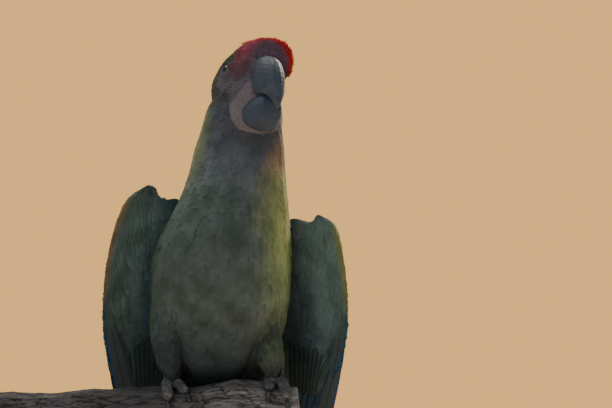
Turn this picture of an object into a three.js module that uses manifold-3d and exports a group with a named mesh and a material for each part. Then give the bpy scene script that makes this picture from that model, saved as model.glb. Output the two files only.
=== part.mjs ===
// A military macaw standing on a cut length of log, which a plain display stand carries.
// Life size, in millimetres, +Z up. The bird faces -Y, so its left side is at +X.
// The origin is on the underside of the stand's base, straight below the point between the feet.
import * as THREE from "three";
import { mergeVertices } from "three/addons/utils/BufferGeometryUtils.js";
import Module from "manifold-3d";

const wasm = await Module();
wasm.setup();

// ---------------------------------------------------------------- driving dimensions
const PERCH_TOP = 390; // height of the log's top, where the bird's own frame has z = 0
const JOINT_GAP = 0.3; // between two pieces that meet

// The middle of the skull, and the head's turn in degrees.
const HEAD = { x: 21.4, y: -14, z: 269.9, yaw: 28.4, pitch: 21.9, roll: 12.1 };
const EYE = { x: -1, y: 19.8, z: 9, radius: 7 }; // in the head's frame, for the left eye
// The forehead's upright feathers, ruffled a little higher on the left.
const CREST = { x: 25, y: 3, z: 14.8, length: 12.5, halfWidth: 26.6, halfHeight: 22.6, lean: 0.17 };
// The bare skin round the lower bill.
const JAW = { x: 4.5, y: 0, z: -29.3, length: 19.5, halfWidth: 21.5, halfHeight: 24.6, lean: 0 };

// The bare cheek lies this much below the feathers round it.
const FACE = { x: 5, z: -1, spread: 19, depth: 4.8 };

// Where each leg leaves the body and where it stands on the log, and how thick its thigh is.
// Drift is how far its front toes swing towards the bird's left.
const LEG = {
  left: { side: 1, hipX: 34, footX: 45, thigh: 18.5, drift: 2 },
  right: { side: -1, hipX: -50, footX: -48.5, thigh: 20, drift: 5.5 },
};
const ANKLE = { radius: 7.2, top: 20, bottom: 5 };
const FOOT_PAD = { halfWidth: 8, halfLength: 10.5, halfHeight: 6.3, rise: 4.5 };
const CLAW = { turn: 70, thick: 3, thin: 0.8, squash: 0.8 };

// Half open wings. Lift raises the wrist. Shift and spread push the leading edge out, at wrist and hand,
// and bulge at the wrist's very top.
const WING = {
  left: { side: 1, lift: 0, knob: 0.27, step: 7, rise: 7, shift: 0, spread: 0, bulge: 3.5 },
  right: { side: -1, lift: 27, knob: 0.46, step: 11, rise: 6.5, shift: 1, spread: 9, bulge: -1 },
};
// Knob is the chord share at which the wrist's knob ends. Behind it the panel's upper edge steps down,
// and rises again where it runs on into the shoulder.
const WRIST = { across: 0.2, stepLength: 0.12, riseFrom: 0.16, riseTo: 0.4, until: 0.25, bulgeUntil: 0.14 };
const WING_CAMBER = 11.5;
const ARM_END = 0.66; // the height share at which the solid part of the wing ends in feathers only
const BLADE_THICKNESS = 2.6; // of a long feather's solid at its middle
const RING_CROWDING = 2.5; // draws the wing's rings together towards the wrist
const PRIMARIES = { count: 7, low: -185, high: -63, bow: 9 };
const SECONDARIES = { count: 6, width: 30, bow: 8 };
const TAIL = { x: -5, y: 60, z: -14, lean: 14, length: 330, pairs: 6, shortest: 0.46, bow: 3 };

const LOG = { left: -232, right: 68, radius: 36, middleY: -6, knob: 7, knobX: 6, knobSpread: 30 };
const BASE = { middleX: -32, middleY: 38, width: 300, depth: 250, height: 18, corner: 24 };
const ROD = { radius: 5.5, places: [-150, 32] };

// Rings and sides of each lofted piece.
const FACETS = {
  body: [24, 18],
  head: [14, 18],
  lobe: [8, 14],
  upperBill: [15, 12],
  lowerBill: [10, 12],
  eye: [8, 12],
  thigh: [9, 12],
  ankle: [4, 8],
  pad: [5, 8],
  toe: [7, 6],
  claw: [5, 6],
  wing: [16, 12],
  blade: [4, 4],
  log: [18, 12],
};

const rad = THREE.MathUtils.degToRad;
const mix = THREE.MathUtils.lerp;
const clamp = THREE.MathUtils.clamp;
const vec = (x, y, z) => new THREE.Vector3(x, y, z);

// ---------------------------------------------------------------- shaping helpers

// Rows of [t, a, b, ...] as a smooth function of t that gives [a, b, ...].
function smoothTable(rows) {
  const slope = (i, k) => {
    const before = rows[Math.max(i - 1, 0)];
    const after = rows[Math.min(i + 1, rows.length - 1)];
    return (after[k] - before[k]) / (after[0] - before[0]);
  };
  return (t) => {
    const at = clamp(t, rows[0][0], rows[rows.length - 1][0]);
    let i = 0;
    while (i < rows.length - 2 && at > rows[i + 1][0]) i += 1;
    const span = rows[i + 1][0] - rows[i][0];
    const s = (at - rows[i][0]) / span;
    const end = 3 * s ** 2 - 2 * s ** 3;
    const leaving = span * (s ** 3 - 2 * s ** 2 + s);
    const arriving = span * (s ** 3 - s ** 2);
    const bend = (k) => leaving * slope(i, k) + arriving * slope(i + 1, k);
    const valueAt = (k) => mix(rows[i][k], rows[i + 1][k], end) + bend(k);
    return rows[i].slice(1).map((value, k) => valueAt(k + 1));
  };
}

// A closed mesh: a sphere's rings and sides, each point put where place(along, angle) says.
// along runs from 0 to 1, pole to pole.
function loft([rings, sides], place) {
  const geometry = new THREE.SphereGeometry(1, sides, rings);
  const position = geometry.getAttribute("position");
  for (let i = 0; i < position.count; i += 1) {
    const ring = Math.floor(i / (sides + 1));
    const side = (i % (sides + 1)) % sides;
    const p = place(ring / rings, (2 * Math.PI * side) / sides);
    position.setXYZ(i, p.x, p.y, p.z);
  }
  return geometry;
}

// A rounded end for a loft: 0 at the poles, 1 once along is past the given share from each end.
function roundEnds(along, first, last) {
  const near = Math.min(first > 0 ? along / first : 1, last > 0 ? (1 - along) / last : 1, 1);
  return Math.sqrt(Math.max(0, 1 - (1 - near) ** 2));
}

const signedPower = (value, power) => Math.sign(value) * Math.abs(value) ** power;

// A geometry as a manifold-3d solid, facing outwards.
function solid(geometry) {
  const bare = geometry.clone();
  bare.deleteAttribute("normal");
  bare.deleteAttribute("uv");
  const merged = mergeVertices(bare, 1e-4);
  const vertProperties = new Float32Array(merged.attributes.position.array);
  const make = (triVerts) => new wasm.Manifold(new wasm.Mesh({ numProp: 3, vertProperties, triVerts }));
  const faces = new Uint32Array(merged.index.array);
  const made = make(faces);
  if (made.volume() > 0) return made;
  for (let i = 0; i < faces.length; i += 3) [faces[i], faces[i + 1]] = [faces[i + 1], faces[i]];
  return make(faces);
}

// The largest body of a solid, as cuts can leave crumbs.
function largest(made) {
  return made.decompose().sort((a, b) => b.volume() - a.volume())[0];
}

// A manifold-3d solid as a geometry.
function geometryOf(made) {
  const mesh = made.getMesh();
  const position = new Float32Array(mesh.numVert * 3);
  for (let i = 0; i < mesh.numVert; i += 1) {
    position.set(mesh.vertProperties.subarray(i * mesh.numProp, i * mesh.numProp + 3), i * 3);
  }
  const geometry = new THREE.BufferGeometry();
  geometry.setAttribute("position", new THREE.BufferAttribute(position, 3));
  geometry.setIndex(new THREE.BufferAttribute(new Uint32Array(mesh.triVerts), 1));
  geometry.computeVertexNormals();
  return geometry;
}

const cubeSolid = (centre, side, turn = new THREE.Matrix4()) =>
  solid(new THREE.BoxGeometry(side, side, side).applyMatrix4(turn).translate(centre.x, centre.y, centre.z));

// A tube of changing radius along a curve, with round ends.
function taperedTube(curve, facets, radiusAt, grow = 0, squash = 1) {
  const [rings] = facets;
  const frames = curve.computeFrenetFrames(rings, false);
  return loft(facets, (along, angle) => {
    const ring = Math.round(along * rings);
    const radius = (radiusAt(along) + grow) * roundEnds(along, 0.14, 0.14);
    return curve
      .getPointAt(along)
      .addScaledVector(frames.normals[ring], radius * Math.cos(angle))
      .addScaledVector(frames.binormals[ring], squash * radius * Math.sin(angle));
  });
}

// ---------------------------------------------------------------- the perch and its stand

// How far the log's bark lies from its middle line.
function logRadius(x, angle, grow) {
  const longWaves = 1.6 * Math.sin(x / 23 + angle);
  const shortWaves = 1.2 * Math.sin(x / 11 + 2 * angle);
  const waves = longWaves + shortWaves + 0.8 * Math.cos(3 * angle);
  const knobShare = Math.exp(-(((x - LOG.knobX) / LOG.knobSpread) ** 2));
  const knobSide = Math.max(0, Math.cos(angle - rad(25))) ** 2;
  return LOG.radius - 1.6 + waves + LOG.knob * knobShare * knobSide + grow;
}

// The angle is counted from straight up, towards the front.
function logPoint(x, angle, grow = 0) {
  const radius = logRadius(x, angle, grow);
  return vec(x, LOG.middleY - radius * Math.sin(angle), -LOG.radius + radius * Math.cos(angle));
}

function logSolid(grow = 0) {
  const [rings] = FACETS.log;
  const endSlant = 7;
  return solid(
    loft(FACETS.log, (along, angle) => {
      const inner = clamp((along * rings - 1) / (rings - 2), 0, 1);
      const end = along === 0 || along === 1 ? 0 : 1;
      const slant = endSlant * end * Math.cos(angle) * (inner - 0.5);
      const x = mix(LOG.left - grow, LOG.right + grow, inner) - slant;
      const p = logPoint(x, angle, grow);
      return vec(x, mix(LOG.middleY, p.y, end), mix(-LOG.radius, p.z, end));
    }),
  );
}

function baseGeometry() {
  const { width, depth, height, corner } = BASE;
  const [right, back] = [width / 2, depth / 2];
  const outline = new THREE.Shape();
  outline.moveTo(-right + corner, -back);
  for (const [x, y, from] of [[1, -1, -90], [1, 1, 0], [-1, 1, 90], [-1, -1, 180]]) {
    outline.absarc(x * (right - corner), y * (back - corner), corner, rad(from), rad(from + 90), false);
  }
  const board = new THREE.ExtrudeGeometry(outline, { depth: height, bevelEnabled: false, curveSegments: 6 });
  return board.translate(BASE.middleX, BASE.middleY, 0);
}

// ---------------------------------------------------------------- trunk and neck

// Height, middle x, half width, front y, back y, out to the feather tips.
const bodyAt = smoothTable([
  [-112, -5, 9, 82, 88],
  [-92, -5, 15, 71, 89],
  [-66, -5, 20, 57, 87],
  [-40, -5, 24, 44, 82],
  [-22, -5, 29, 33, 78],
  [-5, -6, 37, 17, 73],
  [13, -8, 48, -20, 68],
  [36, -9, 59, -40, 64],
  [61, -7, 63, -54, 60],
  [90, -4.5, 64, -62, 56],
  [117, -3.5, 64, -63, 51],
  [142, 1.5, 57.5, -60, 46],
  [164, 6.5, 51, -54, 41],
  [187, 9.8, 45, -48, 36],
  [211, 12, 41.5, -42, 30],
  [232, 14.4, 36.8, -38, 25],
  [256, 17.5, 33.4, -33, 19],
  [272, 19.5, 28, -28, 15],
]);
const BODY_LOW = -114;
const BODY_HIGH = 276;

function bodySolid(grow = 0) {
  return solid(
    loft(FACETS.body, (along, angle) => {
      const height = mix(BODY_LOW - grow, BODY_HIGH + grow, along);
      const [x, halfWidth, front, back] = bodyAt(height);
      const size = roundEnds(along, 0.06, 0.07);
      const middle = (front + back) / 2;
      const halfDepth = (back - front) / 2;
      return vec(
        x + (halfWidth + grow) * size * signedPower(Math.cos(angle), 0.94),
        middle + (halfDepth + grow) * size * signedPower(Math.sin(angle), 0.94),
        height,
      );
    }),
  );
}

// ---------------------------------------------------------------- head in its own frame, x forwards, y left

const headMatrix = (() => {
  const yaw = rad(HEAD.yaw);
  const pitch = rad(HEAD.pitch);
  const level = vec(Math.sin(yaw), -Math.cos(yaw), 0);
  const up = vec(0, 0, 1);
  const forwards = level.clone().multiplyScalar(Math.cos(pitch)).addScaledVector(up, Math.sin(pitch));
  const left = vec(Math.cos(yaw), Math.sin(yaw), 0);
  const crown = level.clone().multiplyScalar(-Math.sin(pitch)).addScaledVector(up, Math.cos(pitch));
  return new THREE.Matrix4()
    .makeTranslation(HEAD.x, HEAD.y, HEAD.z)
    .multiply(new THREE.Matrix4().makeRotationY(rad(HEAD.roll)))
    .multiply(new THREE.Matrix4().makeBasis(forwards, left, crown));
})();

const inHead = (geometry) => solid(geometry.applyMatrix4(headMatrix));

// Distance forwards, half width, crown height, throat height.
const skullAt = smoothTable([
  [-37, 20, 12, -20],
  [-28, 25, 22, -29],
  [-14, 28.5, 31, -35],
  [0, 28.5, 35.5, -38],
  [12, 27, 37, -39],
  [22, 24.5, 35, -36],
  [30, 19, 27, -29],
  [35, 14, 18, -22],
]);
const SKULL_BACK = -38;
const SKULL_FRONT = 35;

function headGeometry() {
  return loft(FACETS.head, (along, angle) => {
    const x = mix(SKULL_BACK, SKULL_FRONT, along);
    const [halfWidth, crown, throat] = skullAt(x);
    const size = roundEnds(along, 0.16, 0.09);
    const middle = (crown + throat) / 2;
    const z = middle + ((crown - throat) / 2) * size * signedPower(Math.sin(angle), 0.95);
    const fromFace = ((x - FACE.x) ** 2 + (z - FACE.z) ** 2) / FACE.spread ** 2;
    const bare = FACE.depth * Math.exp(-fromFace);
    const reach = halfWidth * size * signedPower(Math.cos(angle), 0.9);
    return vec(x, reach - Math.sign(reach) * Math.min(bare, Math.abs(reach)), z);
  });
}

// An egg-shaped lobe of the head, with its own fullness.
function lobeGeometry({ x, y, z, length, halfWidth, halfHeight, lean }, fullness) {
  return loft(FACETS.lobe, (along, angle) => {
    const turn = Math.PI * along;
    const size = signedPower(Math.sin(turn), fullness);
    const across = halfWidth * size * signedPower(Math.cos(angle), fullness);
    const up = halfHeight * size * signedPower(Math.sin(angle), fullness);
    return vec(x - length * Math.cos(turn), y + across, z + up + lean * across);
  });
}

// Height, back, front and half width of the upper bill, from the hook's point up to the forehead.
const upperBillAt = smoothTable([
  [-39, 50.2, 51.4, 0.8],
  [-36, 48.8, 52.6, 2.8],
  [-31, 46.2, 54.2, 5.4],
  [-26, 42.5, 55.4, 7.8],
  [-21, 34, 56, 11.4],
  [-16, 24, 56.2, 13.4],
  [-8, 21, 55.4, 14.8],
  [0, 20, 52.8, 15],
  [8, 19, 47.8, 13.8],
  [14, 18, 41, 11],
  [18, 17, 32, 5.5],
]);

const HOOK_POINT = -39.4;
const BILL_TOP = 18.4;

function upperBillGeometry(grow = 0) {
  return loft(FACETS.upperBill, (along, angle) => {
    const z = mix(HOOK_POINT - grow, BILL_TOP + grow, along);
    const [back, front, halfWidth] = upperBillAt(z);
    const size = roundEnds(along, 0.03, 0.06);
    const share = 0.5 + 0.5 * Math.cos(angle);
    const ridge = 1 - 0.5 * share ** 2.2;
    const reach = ((front - back) / 2 + grow) * size;
    return vec(
      (front + back) / 2 + reach * Math.cos(angle),
      (halfWidth + grow) * size * ridge * signedPower(Math.sin(angle), 0.75),
      z,
    );
  });
}

// Distance forwards, half width, upper edge and keel of the lower bill.
const lowerBillAt = smoothTable([
  [6, 14.6, -21, -38],
  [14, 15.3, -20.5, -45.5],
  [22, 15, -20, -49.8],
  [30, 13.8, -20.5, -49],
  [38, 11, -22, -44],
  [44, 7, -25, -36],
]);

const LOWER_BILL_BACK = 5;
const LOWER_BILL_TIP = 45.5;

function lowerBillGeometry(grow = 0) {
  return loft(FACETS.lowerBill, (along, angle) => {
    const x = mix(LOWER_BILL_BACK - grow, LOWER_BILL_TIP + grow, along);
    const [halfWidth, rim, keel] = lowerBillAt(x);
    const size = roundEnds(along, 0.1, 0.16);
    const middle = (rim + keel) / 2;
    return vec(
      x,
      (halfWidth + grow) * size * signedPower(Math.cos(angle), 0.8),
      middle + ((rim - keel) / 2 + grow) * size * signedPower(Math.sin(angle), 0.85),
    );
  });
}

function eyeGeometry(side, grow = 0) {
  const [rings, sides] = FACETS.eye;
  return new THREE.SphereGeometry(EYE.radius + grow, sides, rings).translate(EYE.x, side * EYE.y, EYE.z);
}

// ---------------------------------------------------------------- legs and feet

function thighGeometry(leg) {
  const path = new THREE.CatmullRomCurve3([
    vec(leg.hipX, 8, 70),
    vec(leg.hipX, -12, 46),
    vec(mix(leg.hipX, leg.footX, 0.6), -16, 24),
    vec(leg.footX, LOG.middleY - 1, 9),
  ]);
  const sizeAt = smoothTable([[0, 1], [0.35, 1], [0.7, 0.8], [1, 0.5]]);
  return taperedTube(path, FACETS.thigh, (along) => leg.thigh * sizeAt(along)[0]);
}

// Toes of a parrot, two forwards and two backwards: how far beside the foot's middle each starts and ends,
// and its first and last angle on the log.
const TOES = [
  { name: "outer_front", start: 4, end: 8, from: 6, to: 51, radius: 5.1, claw: 16 },
  { name: "inner_front", start: -3, end: -8, from: 8, to: 36, radius: 4.9, claw: 14 },
  { name: "outer_back", start: 2.3, end: 9, from: -8, to: -50, radius: 4.6, claw: 14 },
  { name: "inner_back", start: -1.8, end: -7, from: -6, to: -34, radius: 4.2, claw: 11 },
];

function toePath(leg, toe) {
  const points = [];
  for (let i = 0; i <= 6; i += 1) {
    const share = i / 6;
    const angle = rad(mix(toe.from, toe.to, share));
    const swing = toe.to > 0 ? leg.drift * share : 0;
    const x = leg.footX + leg.side * mix(toe.start, toe.end, share ** 0.8) + swing;
    const lift = toe.radius * 0.86 + 1.5 * Math.sin(3 * Math.PI * share) ** 2;
    points.push(logPoint(x, angle, lift));
  }
  return new THREE.CatmullRomCurve3(points);
}

function toeGeometry(leg, toe) {
  const knuckle = (along) => 1 + 0.1 * Math.cos(6 * Math.PI * along);
  const radiusAt = (along) => toe.radius * knuckle(along) * mix(1.05, 0.86, along);
  return taperedTube(toePath(leg, toe), FACETS.toe, radiusAt);
}

function shankGeometry(leg) {
  const path = new THREE.CatmullRomCurve3([
    vec(leg.footX, LOG.middleY - 2, ANKLE.top),
    vec(leg.footX, LOG.middleY, mix(ANKLE.bottom, ANKLE.top, 0.4)),
    logPoint(leg.footX, 0, ANKLE.bottom),
  ]);
  return taperedTube(path, FACETS.ankle, () => ANKLE.radius);
}

// The ball of the foot, from which the toes spread.
function footPadGeometry(leg) {
  const middle = logPoint(leg.footX, 0, FOOT_PAD.rise);
  const [rings, sides] = FACETS.pad;
  return new THREE.SphereGeometry(1, sides, rings)
    .scale(FOOT_PAD.halfWidth, FOOT_PAD.halfLength, FOOT_PAD.halfHeight)
    .translate(middle.x, middle.y, middle.z);
}

// A claw leaves the toe's end, and curves down until its point meets the bark.
function clawGeometry(leg, toe, grow = 0) {
  const path = toePath(leg, toe);
  const rootShare = 0.97;
  const end = path.getPointAt(rootShare);
  const way = path.getTangentAt(rootShare);
  const inwards = vec(0, LOG.middleY - end.y, -LOG.radius - end.z).normalize();
  const points = [0, 1, 2, 3].map((step) => {
    const share = step / 3;
    const turn = rad(CLAW.turn) * share;
    const sink = 0.9 * (1 - Math.cos(turn)) - 0.16 * Math.sin(Math.PI * share);
    return end
      .clone()
      .addScaledVector(way, toe.claw * Math.sin(turn))
      .addScaledVector(inwards, toe.claw * sink);
  });
  const radiusAt = (along) => mix(CLAW.thick, CLAW.thin, along ** 0.8);
  return taperedTube(new THREE.CatmullRomCurve3(points), FACETS.claw, radiusAt, grow, CLAW.squash);
}

// ---------------------------------------------------------------- wings

// Each wing hangs open from the shoulder, as a cambered panel. For each height share from the wrist down:
// leading edge x, y and z, trailing edge x and y, thickness, for the left wing. The right one is mirrored,
// and its wrist is carried higher by lift.
const wingAt = smoothTable([
  [0, 81.5, -19, 154.5, 44, 22, 17],
  [0.06, 95, -21, 144, 36, 34, 21],
  [0.16, 105, -17, 116, 30, 45, 19],
  [0.3, 109.5, -7, 80, 30, 58, 15],
  [0.44, 109.4, 6, 45, 34, 70, 11],
  [0.56, 102.5, 19, 16, 40, 80, 8],
  [0.68, 91, 33, -12, 45, 88, 5.5],
]);

// The panel at share (0 at the wrist) and across (0 at the leading edge, 1 at the trailing edge).
function wingFrame(wing, share) {
  const [leadX, leadY, leadZ, trailX, trailY, thickness] = wingAt(share);
  const raised = (1 - clamp(share / 0.6, 0, 1)) ** 1.2;
  const raise = wing.lift * raised;
  const nearWrist = 1 - clamp(share / WRIST.until, 0, 1);
  const bulge = wing.bulge * (1 - clamp(share / WRIST.bulgeUntil, 0, 1));
  const push = mix(wing.shift, wing.spread, (share / 0.7) ** 4) + bulge;
  const lead = vec(wing.side * (leadX + push - 0.5 * raise * raised ** 2), leadY, leadZ + raise);
  const trail = vec(wing.side * (trailX - 0.2 * raise), trailY, leadZ + raise);
  const chord = trail.clone().sub(lead);
  const outwards = vec(chord.y * wing.side, -chord.x * wing.side, 0).normalize();
  return { lead, chord, outwards, thickness, nearWrist };
}

// How far the panel's upper edge lies below the wrist's knob.
function belowKnob(wing, across) {
  const { smoothstep } = THREE.MathUtils;
  const behind = across - wing.knob;
  return (
    wing.step * smoothstep(behind, 0, WRIST.stepLength) -
    wing.rise * smoothstep(behind, WRIST.riseFrom, WRIST.riseTo)
  );
}

function wingPoint(wing, share, across, lift) {
  const { lead, chord, outwards, nearWrist } = wingFrame(wing, share);
  const camber = WING_CAMBER * Math.sin(Math.PI * clamp(across, 0, 1) ** 0.75);
  return lead
    .addScaledVector(chord, across)
    .addScaledVector(outwards, camber + lift)
    .add(vec(0, 0, -nearWrist * belowKnob(wing, across)));
}

function wingSolid(wing, grow = 0) {
  return solid(
    loft(FACETS.wing, (along, angle) => {
      const eased = along ** RING_CROWDING;
      const share = mix(0, ARM_END, eased);
      const { thickness } = wingFrame(wing, share);
      const size = roundEnds(eased, 0.14, 0.04);
      const across = mix(WRIST.across, 0.5 - 0.5 * Math.cos(angle), size);
      const bulge = signedPower(Math.sin(angle), 0.8) * size * (1 - 0.62 * across);
      return wingPoint(wing, share, across, (thickness / 2 + grow) * bulge);
    }),
  );
}

// ---------------------------------------------------------------- long feathers

// A feather as a thin blade from root to tip; out is the way its upper side faces, bow how far it arches.
function bladeGeometry({ root, tip, out, width, bow }) {
  const spine = tip.clone().sub(root);
  const across = spine.clone().cross(out).normalize();
  const face = across.clone().cross(spine).normalize();
  const widthAt = smoothTable([[0, 0.35], [0.12, 0.75], [0.4, 1], [0.75, 0.95], [0.92, 0.62], [1, 0.12]]);
  return loft(FACETS.blade, (along, angle) => {
    const ends = along === 0 || along === 1 ? 0 : 1;
    const half = (width / 2) * widthAt(along)[0] * ends;
    const arch = bow * Math.sin(Math.PI * along);
    return root
      .clone()
      .addScaledVector(spine, along)
      .addScaledVector(across, half * Math.cos(angle))
      .addScaledVector(face, arch + (BLADE_THICKNESS / 2) * ends * Math.sin(angle));
  });
}

const tailWay = vec(0, Math.sin(rad(TAIL.lean)), -Math.cos(rad(TAIL.lean)));
const tailBack = vec(0, Math.cos(rad(TAIL.lean)), Math.sin(rad(TAIL.lean)));

// Six pairs: the middle pair is longest and lies on top, and the outer ones are ever shorter, below it.
function tailSolid() {
  const blades = [];
  for (let pair = 0; pair < TAIL.pairs; pair += 1) {
    const outer = pair / (TAIL.pairs - 1);
    for (const side of [-1, 1]) {
      const rump = vec(TAIL.x + side * (3 + 12 * outer), TAIL.y, TAIL.z);
      const root = rump.addScaledVector(tailBack, 7 - 13 * outer);
      const length = TAIL.length * mix(1, TAIL.shortest, outer ** 0.85);
      const tip = root
        .clone()
        .addScaledVector(tailWay, length)
        .addScaledVector(tailBack, -2 + 3 * outer)
        .add(vec(side * (1 + 15 * outer), 0, 0));
      blades.push(
        solid(bladeGeometry({
          root,
          tip,
          out: tailBack.clone().add(vec(side * 0.3 * outer, 0, 0)),
          width: mix(27, 22, outer),
          bow: TAIL.bow,
        })),
      );
    }
  }
  return wasm.Manifold.union(blades);
}

// The hand's long feathers: the first lies along the leading edge, and the inner ones are ever shorter.
function primariesSolid(wing) {
  const blades = [];
  const { outwards } = wingFrame(wing, 0.6);
  for (let i = 0; i < PRIMARIES.count; i += 1) {
    const inner = i / (PRIMARIES.count - 1);
    const root = wingPoint(wing, mix(0.38, 0.42, inner), mix(0.08, 0.55, inner), mix(-3, 0, inner));
    const low = mix(PRIMARIES.low, PRIMARIES.high, inner ** 0.9);
    const tip = vec(wing.side * mix(38, 50, inner), mix(96, 100, inner), low);
    const width = mix(23, 27, inner);
    blades.push(solid(bladeGeometry({ root, tip, out: outwards, width, bow: PRIMARIES.bow })));
  }
  return wasm.Manifold.union(blades);
}

// The arm's long feathers, which end level with the rump.
function secondariesSolid(wing) {
  const blades = [];
  const { outwards } = wingFrame(wing, 0.5);
  for (let i = 0; i < SECONDARIES.count; i += 1) {
    const inner = i / (SECONDARIES.count - 1);
    const root = wingPoint(wing, mix(0.4, 0.3, inner), mix(0.32, 0.9, inner), mix(1, 2, inner));
    const tip = vec(wing.side * mix(80, 41, inner), mix(58, 98, inner), mix(-34, -44, inner));
    const { width, bow } = SECONDARIES;
    blades.push(solid(bladeGeometry({ root, tip, out: outwards, width, bow })));
  }
  return wasm.Manifold.union(blades);
}

// ---------------------------------------------------------------- pieces cut where they meet

const log = logSolid();
const logGrown = logSolid(JOINT_GAP);
const bodyWhole = bodySolid();
const bodyGrown = bodySolid(JOINT_GAP);
const headWhole = inHead(headGeometry())
  .add(inHead(lobeGeometry(CREST, 0.85)))
  .add(inHead(lobeGeometry(JAW, 0.9)));

const upperBill = inHead(upperBillGeometry());
const lowerBill = inHead(lowerBillGeometry()).subtract(inHead(upperBillGeometry(JOINT_GAP)));
const billSpace = inHead(upperBillGeometry(JOINT_GAP)).add(inHead(lowerBillGeometry(JOINT_GAP)));
const eyeSpace = inHead(eyeGeometry(1, JOINT_GAP)).add(inHead(eyeGeometry(-1, JOINT_GAP)));

// Flat knives across the body: one under the head, square to the neck, and one at the neck's foot.
const HEAD_CUT = { z: 236, tiltX: 20, tiltY: 8 };
const NECK_CUT = { z: 176 };
const REACH = 400; // wider than the bird
const headTurn = new THREE.Matrix4().makeRotationFromEuler(
  new THREE.Euler(rad(HEAD_CUT.tiltX), rad(HEAD_CUT.tiltY), 0),
);
const headNormal = vec(0, 0, 1).applyMatrix4(headTurn);
const headCutAt = vec(HEAD.x, HEAD.y, HEAD_CUT.z);
const halfSpace = (at, normal, turn) =>
  cubeSolid(at.clone().addScaledVector(normal, REACH / 2), REACH, turn);
const headCutBelow = headCutAt.clone().addScaledVector(headNormal, -JOINT_GAP);
const aboveHeadCut = halfSpace(headCutAt, headNormal, headTurn);
const aboveHeadCutGap = halfSpace(headCutBelow, headNormal, headTurn);
const aboveNeckCut = halfSpace(vec(0, 0, NECK_CUT.z), vec(0, 0, 1));
const aboveNeckCutGap = halfSpace(vec(0, 0, NECK_CUT.z - JOINT_GAP), vec(0, 0, 1));

const flesh = bodyWhole.add(headWhole);
const head = largest(flesh.intersect(aboveHeadCut).subtract(billSpace).subtract(eyeSpace));
const neck = largest(flesh.subtract(aboveHeadCutGap).intersect(aboveNeckCut).subtract(billSpace));
const trunk = largest(flesh.subtract(aboveNeckCutGap).subtract(logGrown));

const group = new THREE.Group();
const bird = new THREE.Group();
bird.position.z = PERCH_TOP;
group.add(bird);

const paint = (color, roughness, metalness = 0) =>
  new THREE.MeshStandardMaterial({ color, roughness, metalness });
const PAINTS = {
  plumage: paint(0x4f7038, 0.8),
  throat: paint(0x5d5a34, 0.8),
  flight: paint(0x2f6f96, 0.6),
  tail: paint(0x8a3a24, 0.6),
  horn: paint(0x2c2d30, 0.35),
  eye: paint(0xd8c25a, 0.1),
  scute: paint(0x45434a, 0.6),
  bark: paint(0x5d5049, 0.95),
  board: paint(0x3b2a20, 0.5),
  steel: paint(0x9a9da0, 0.35, 1),
};

function addPiece(parent, name, made, material) {
  const geometry = made instanceof THREE.BufferGeometry ? made : geometryOf(made);
  const mesh = new THREE.Mesh(geometry, material);
  mesh.name = name;
  parent.add(mesh);
  return mesh;
}

addPiece(bird, "head", head, PAINTS.plumage);
addPiece(bird, "neck", neck, PAINTS.throat);
addPiece(bird, "trunk", trunk, PAINTS.plumage);
addPiece(bird, "bill_upper", upperBill, PAINTS.horn);
addPiece(bird, "bill_lower", largest(lowerBill), PAINTS.horn);
addPiece(bird, "eye_left", inHead(eyeGeometry(1)), PAINTS.eye);
addPiece(bird, "eye_right", inHead(eyeGeometry(-1)), PAINTS.eye);
addPiece(bird, "tail", largest(tailSolid().subtract(bodyGrown)), PAINTS.tail);

for (const [name, wing] of Object.entries(WING)) {
  const arm = largest(wingSolid(wing).subtract(bodyGrown));
  const inTheWay = bodyGrown.add(wingSolid(wing, JOINT_GAP));
  const secondaries = largest(secondariesSolid(wing).subtract(inTheWay));
  const primaries = largest(primariesSolid(wing).subtract(inTheWay).subtract(secondariesSolid(wing)));
  addPiece(bird, `wing_${name}`, arm, PAINTS.plumage);
  addPiece(bird, `wing_${name}_secondaries`, secondaries, PAINTS.flight);
  addPiece(bird, `wing_${name}_primaries`, primaries, PAINTS.flight);
}

for (const [name, leg] of Object.entries(LEG)) {
  const thigh = largest(solid(thighGeometry(leg)).subtract(bodyGrown).subtract(logGrown));
  addPiece(bird, `leg_${name}`, thigh, PAINTS.plumage);
  const claws = TOES.map((toe) => solid(clawGeometry(leg, toe, JOINT_GAP)));
  const toes = TOES.map((toe) => solid(toeGeometry(leg, toe)));
  const foot = wasm.Manifold.union([solid(shankGeometry(leg)), solid(footPadGeometry(leg)), ...toes])
    .subtract(wasm.Manifold.union(claws))
    .subtract(logGrown)
    .subtract(solid(thighGeometry(leg)))
    .subtract(bodyGrown);
  addPiece(bird, `foot_${name}`, largest(foot), PAINTS.scute);
  for (const toe of TOES) {
    const claw = largest(solid(clawGeometry(leg, toe)).subtract(logGrown));
    addPiece(bird, `claw_${name}_${toe.name}`, claw, PAINTS.horn);
  }
}

addPiece(bird, "perch_log", log, PAINTS.bark);

addPiece(group, "stand_base", baseGeometry(), PAINTS.board);
const logInStand = solid(geometryOf(logGrown).translate(0, 0, PERCH_TOP));
ROD.places.forEach((x, i) => {
  const length = PERCH_TOP - LOG.radius - BASE.height - JOINT_GAP;
  const rod = new THREE.CylinderGeometry(ROD.radius, ROD.radius, length, 24)
    .rotateX(Math.PI / 2)
    .translate(x, LOG.middleY, BASE.height + JOINT_GAP + length / 2);
  addPiece(group, `stand_rod_${i + 1}`, largest(solid(rod).subtract(logInStand)), PAINTS.steel);
});

export default group;
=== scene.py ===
"""Skin, plumage, bill, eyes, feet, perch and stand of a life-size military macaw, built round its frame."""
import functools
import math

import bmesh
import bpy
import numpy as np
from bpy.props import FloatProperty, FloatVectorProperty, PointerProperty
from mathutils import Matrix, Vector
from mathutils.bvhtree import BVHTree
from mathutils.kdtree import KDTree


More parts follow.
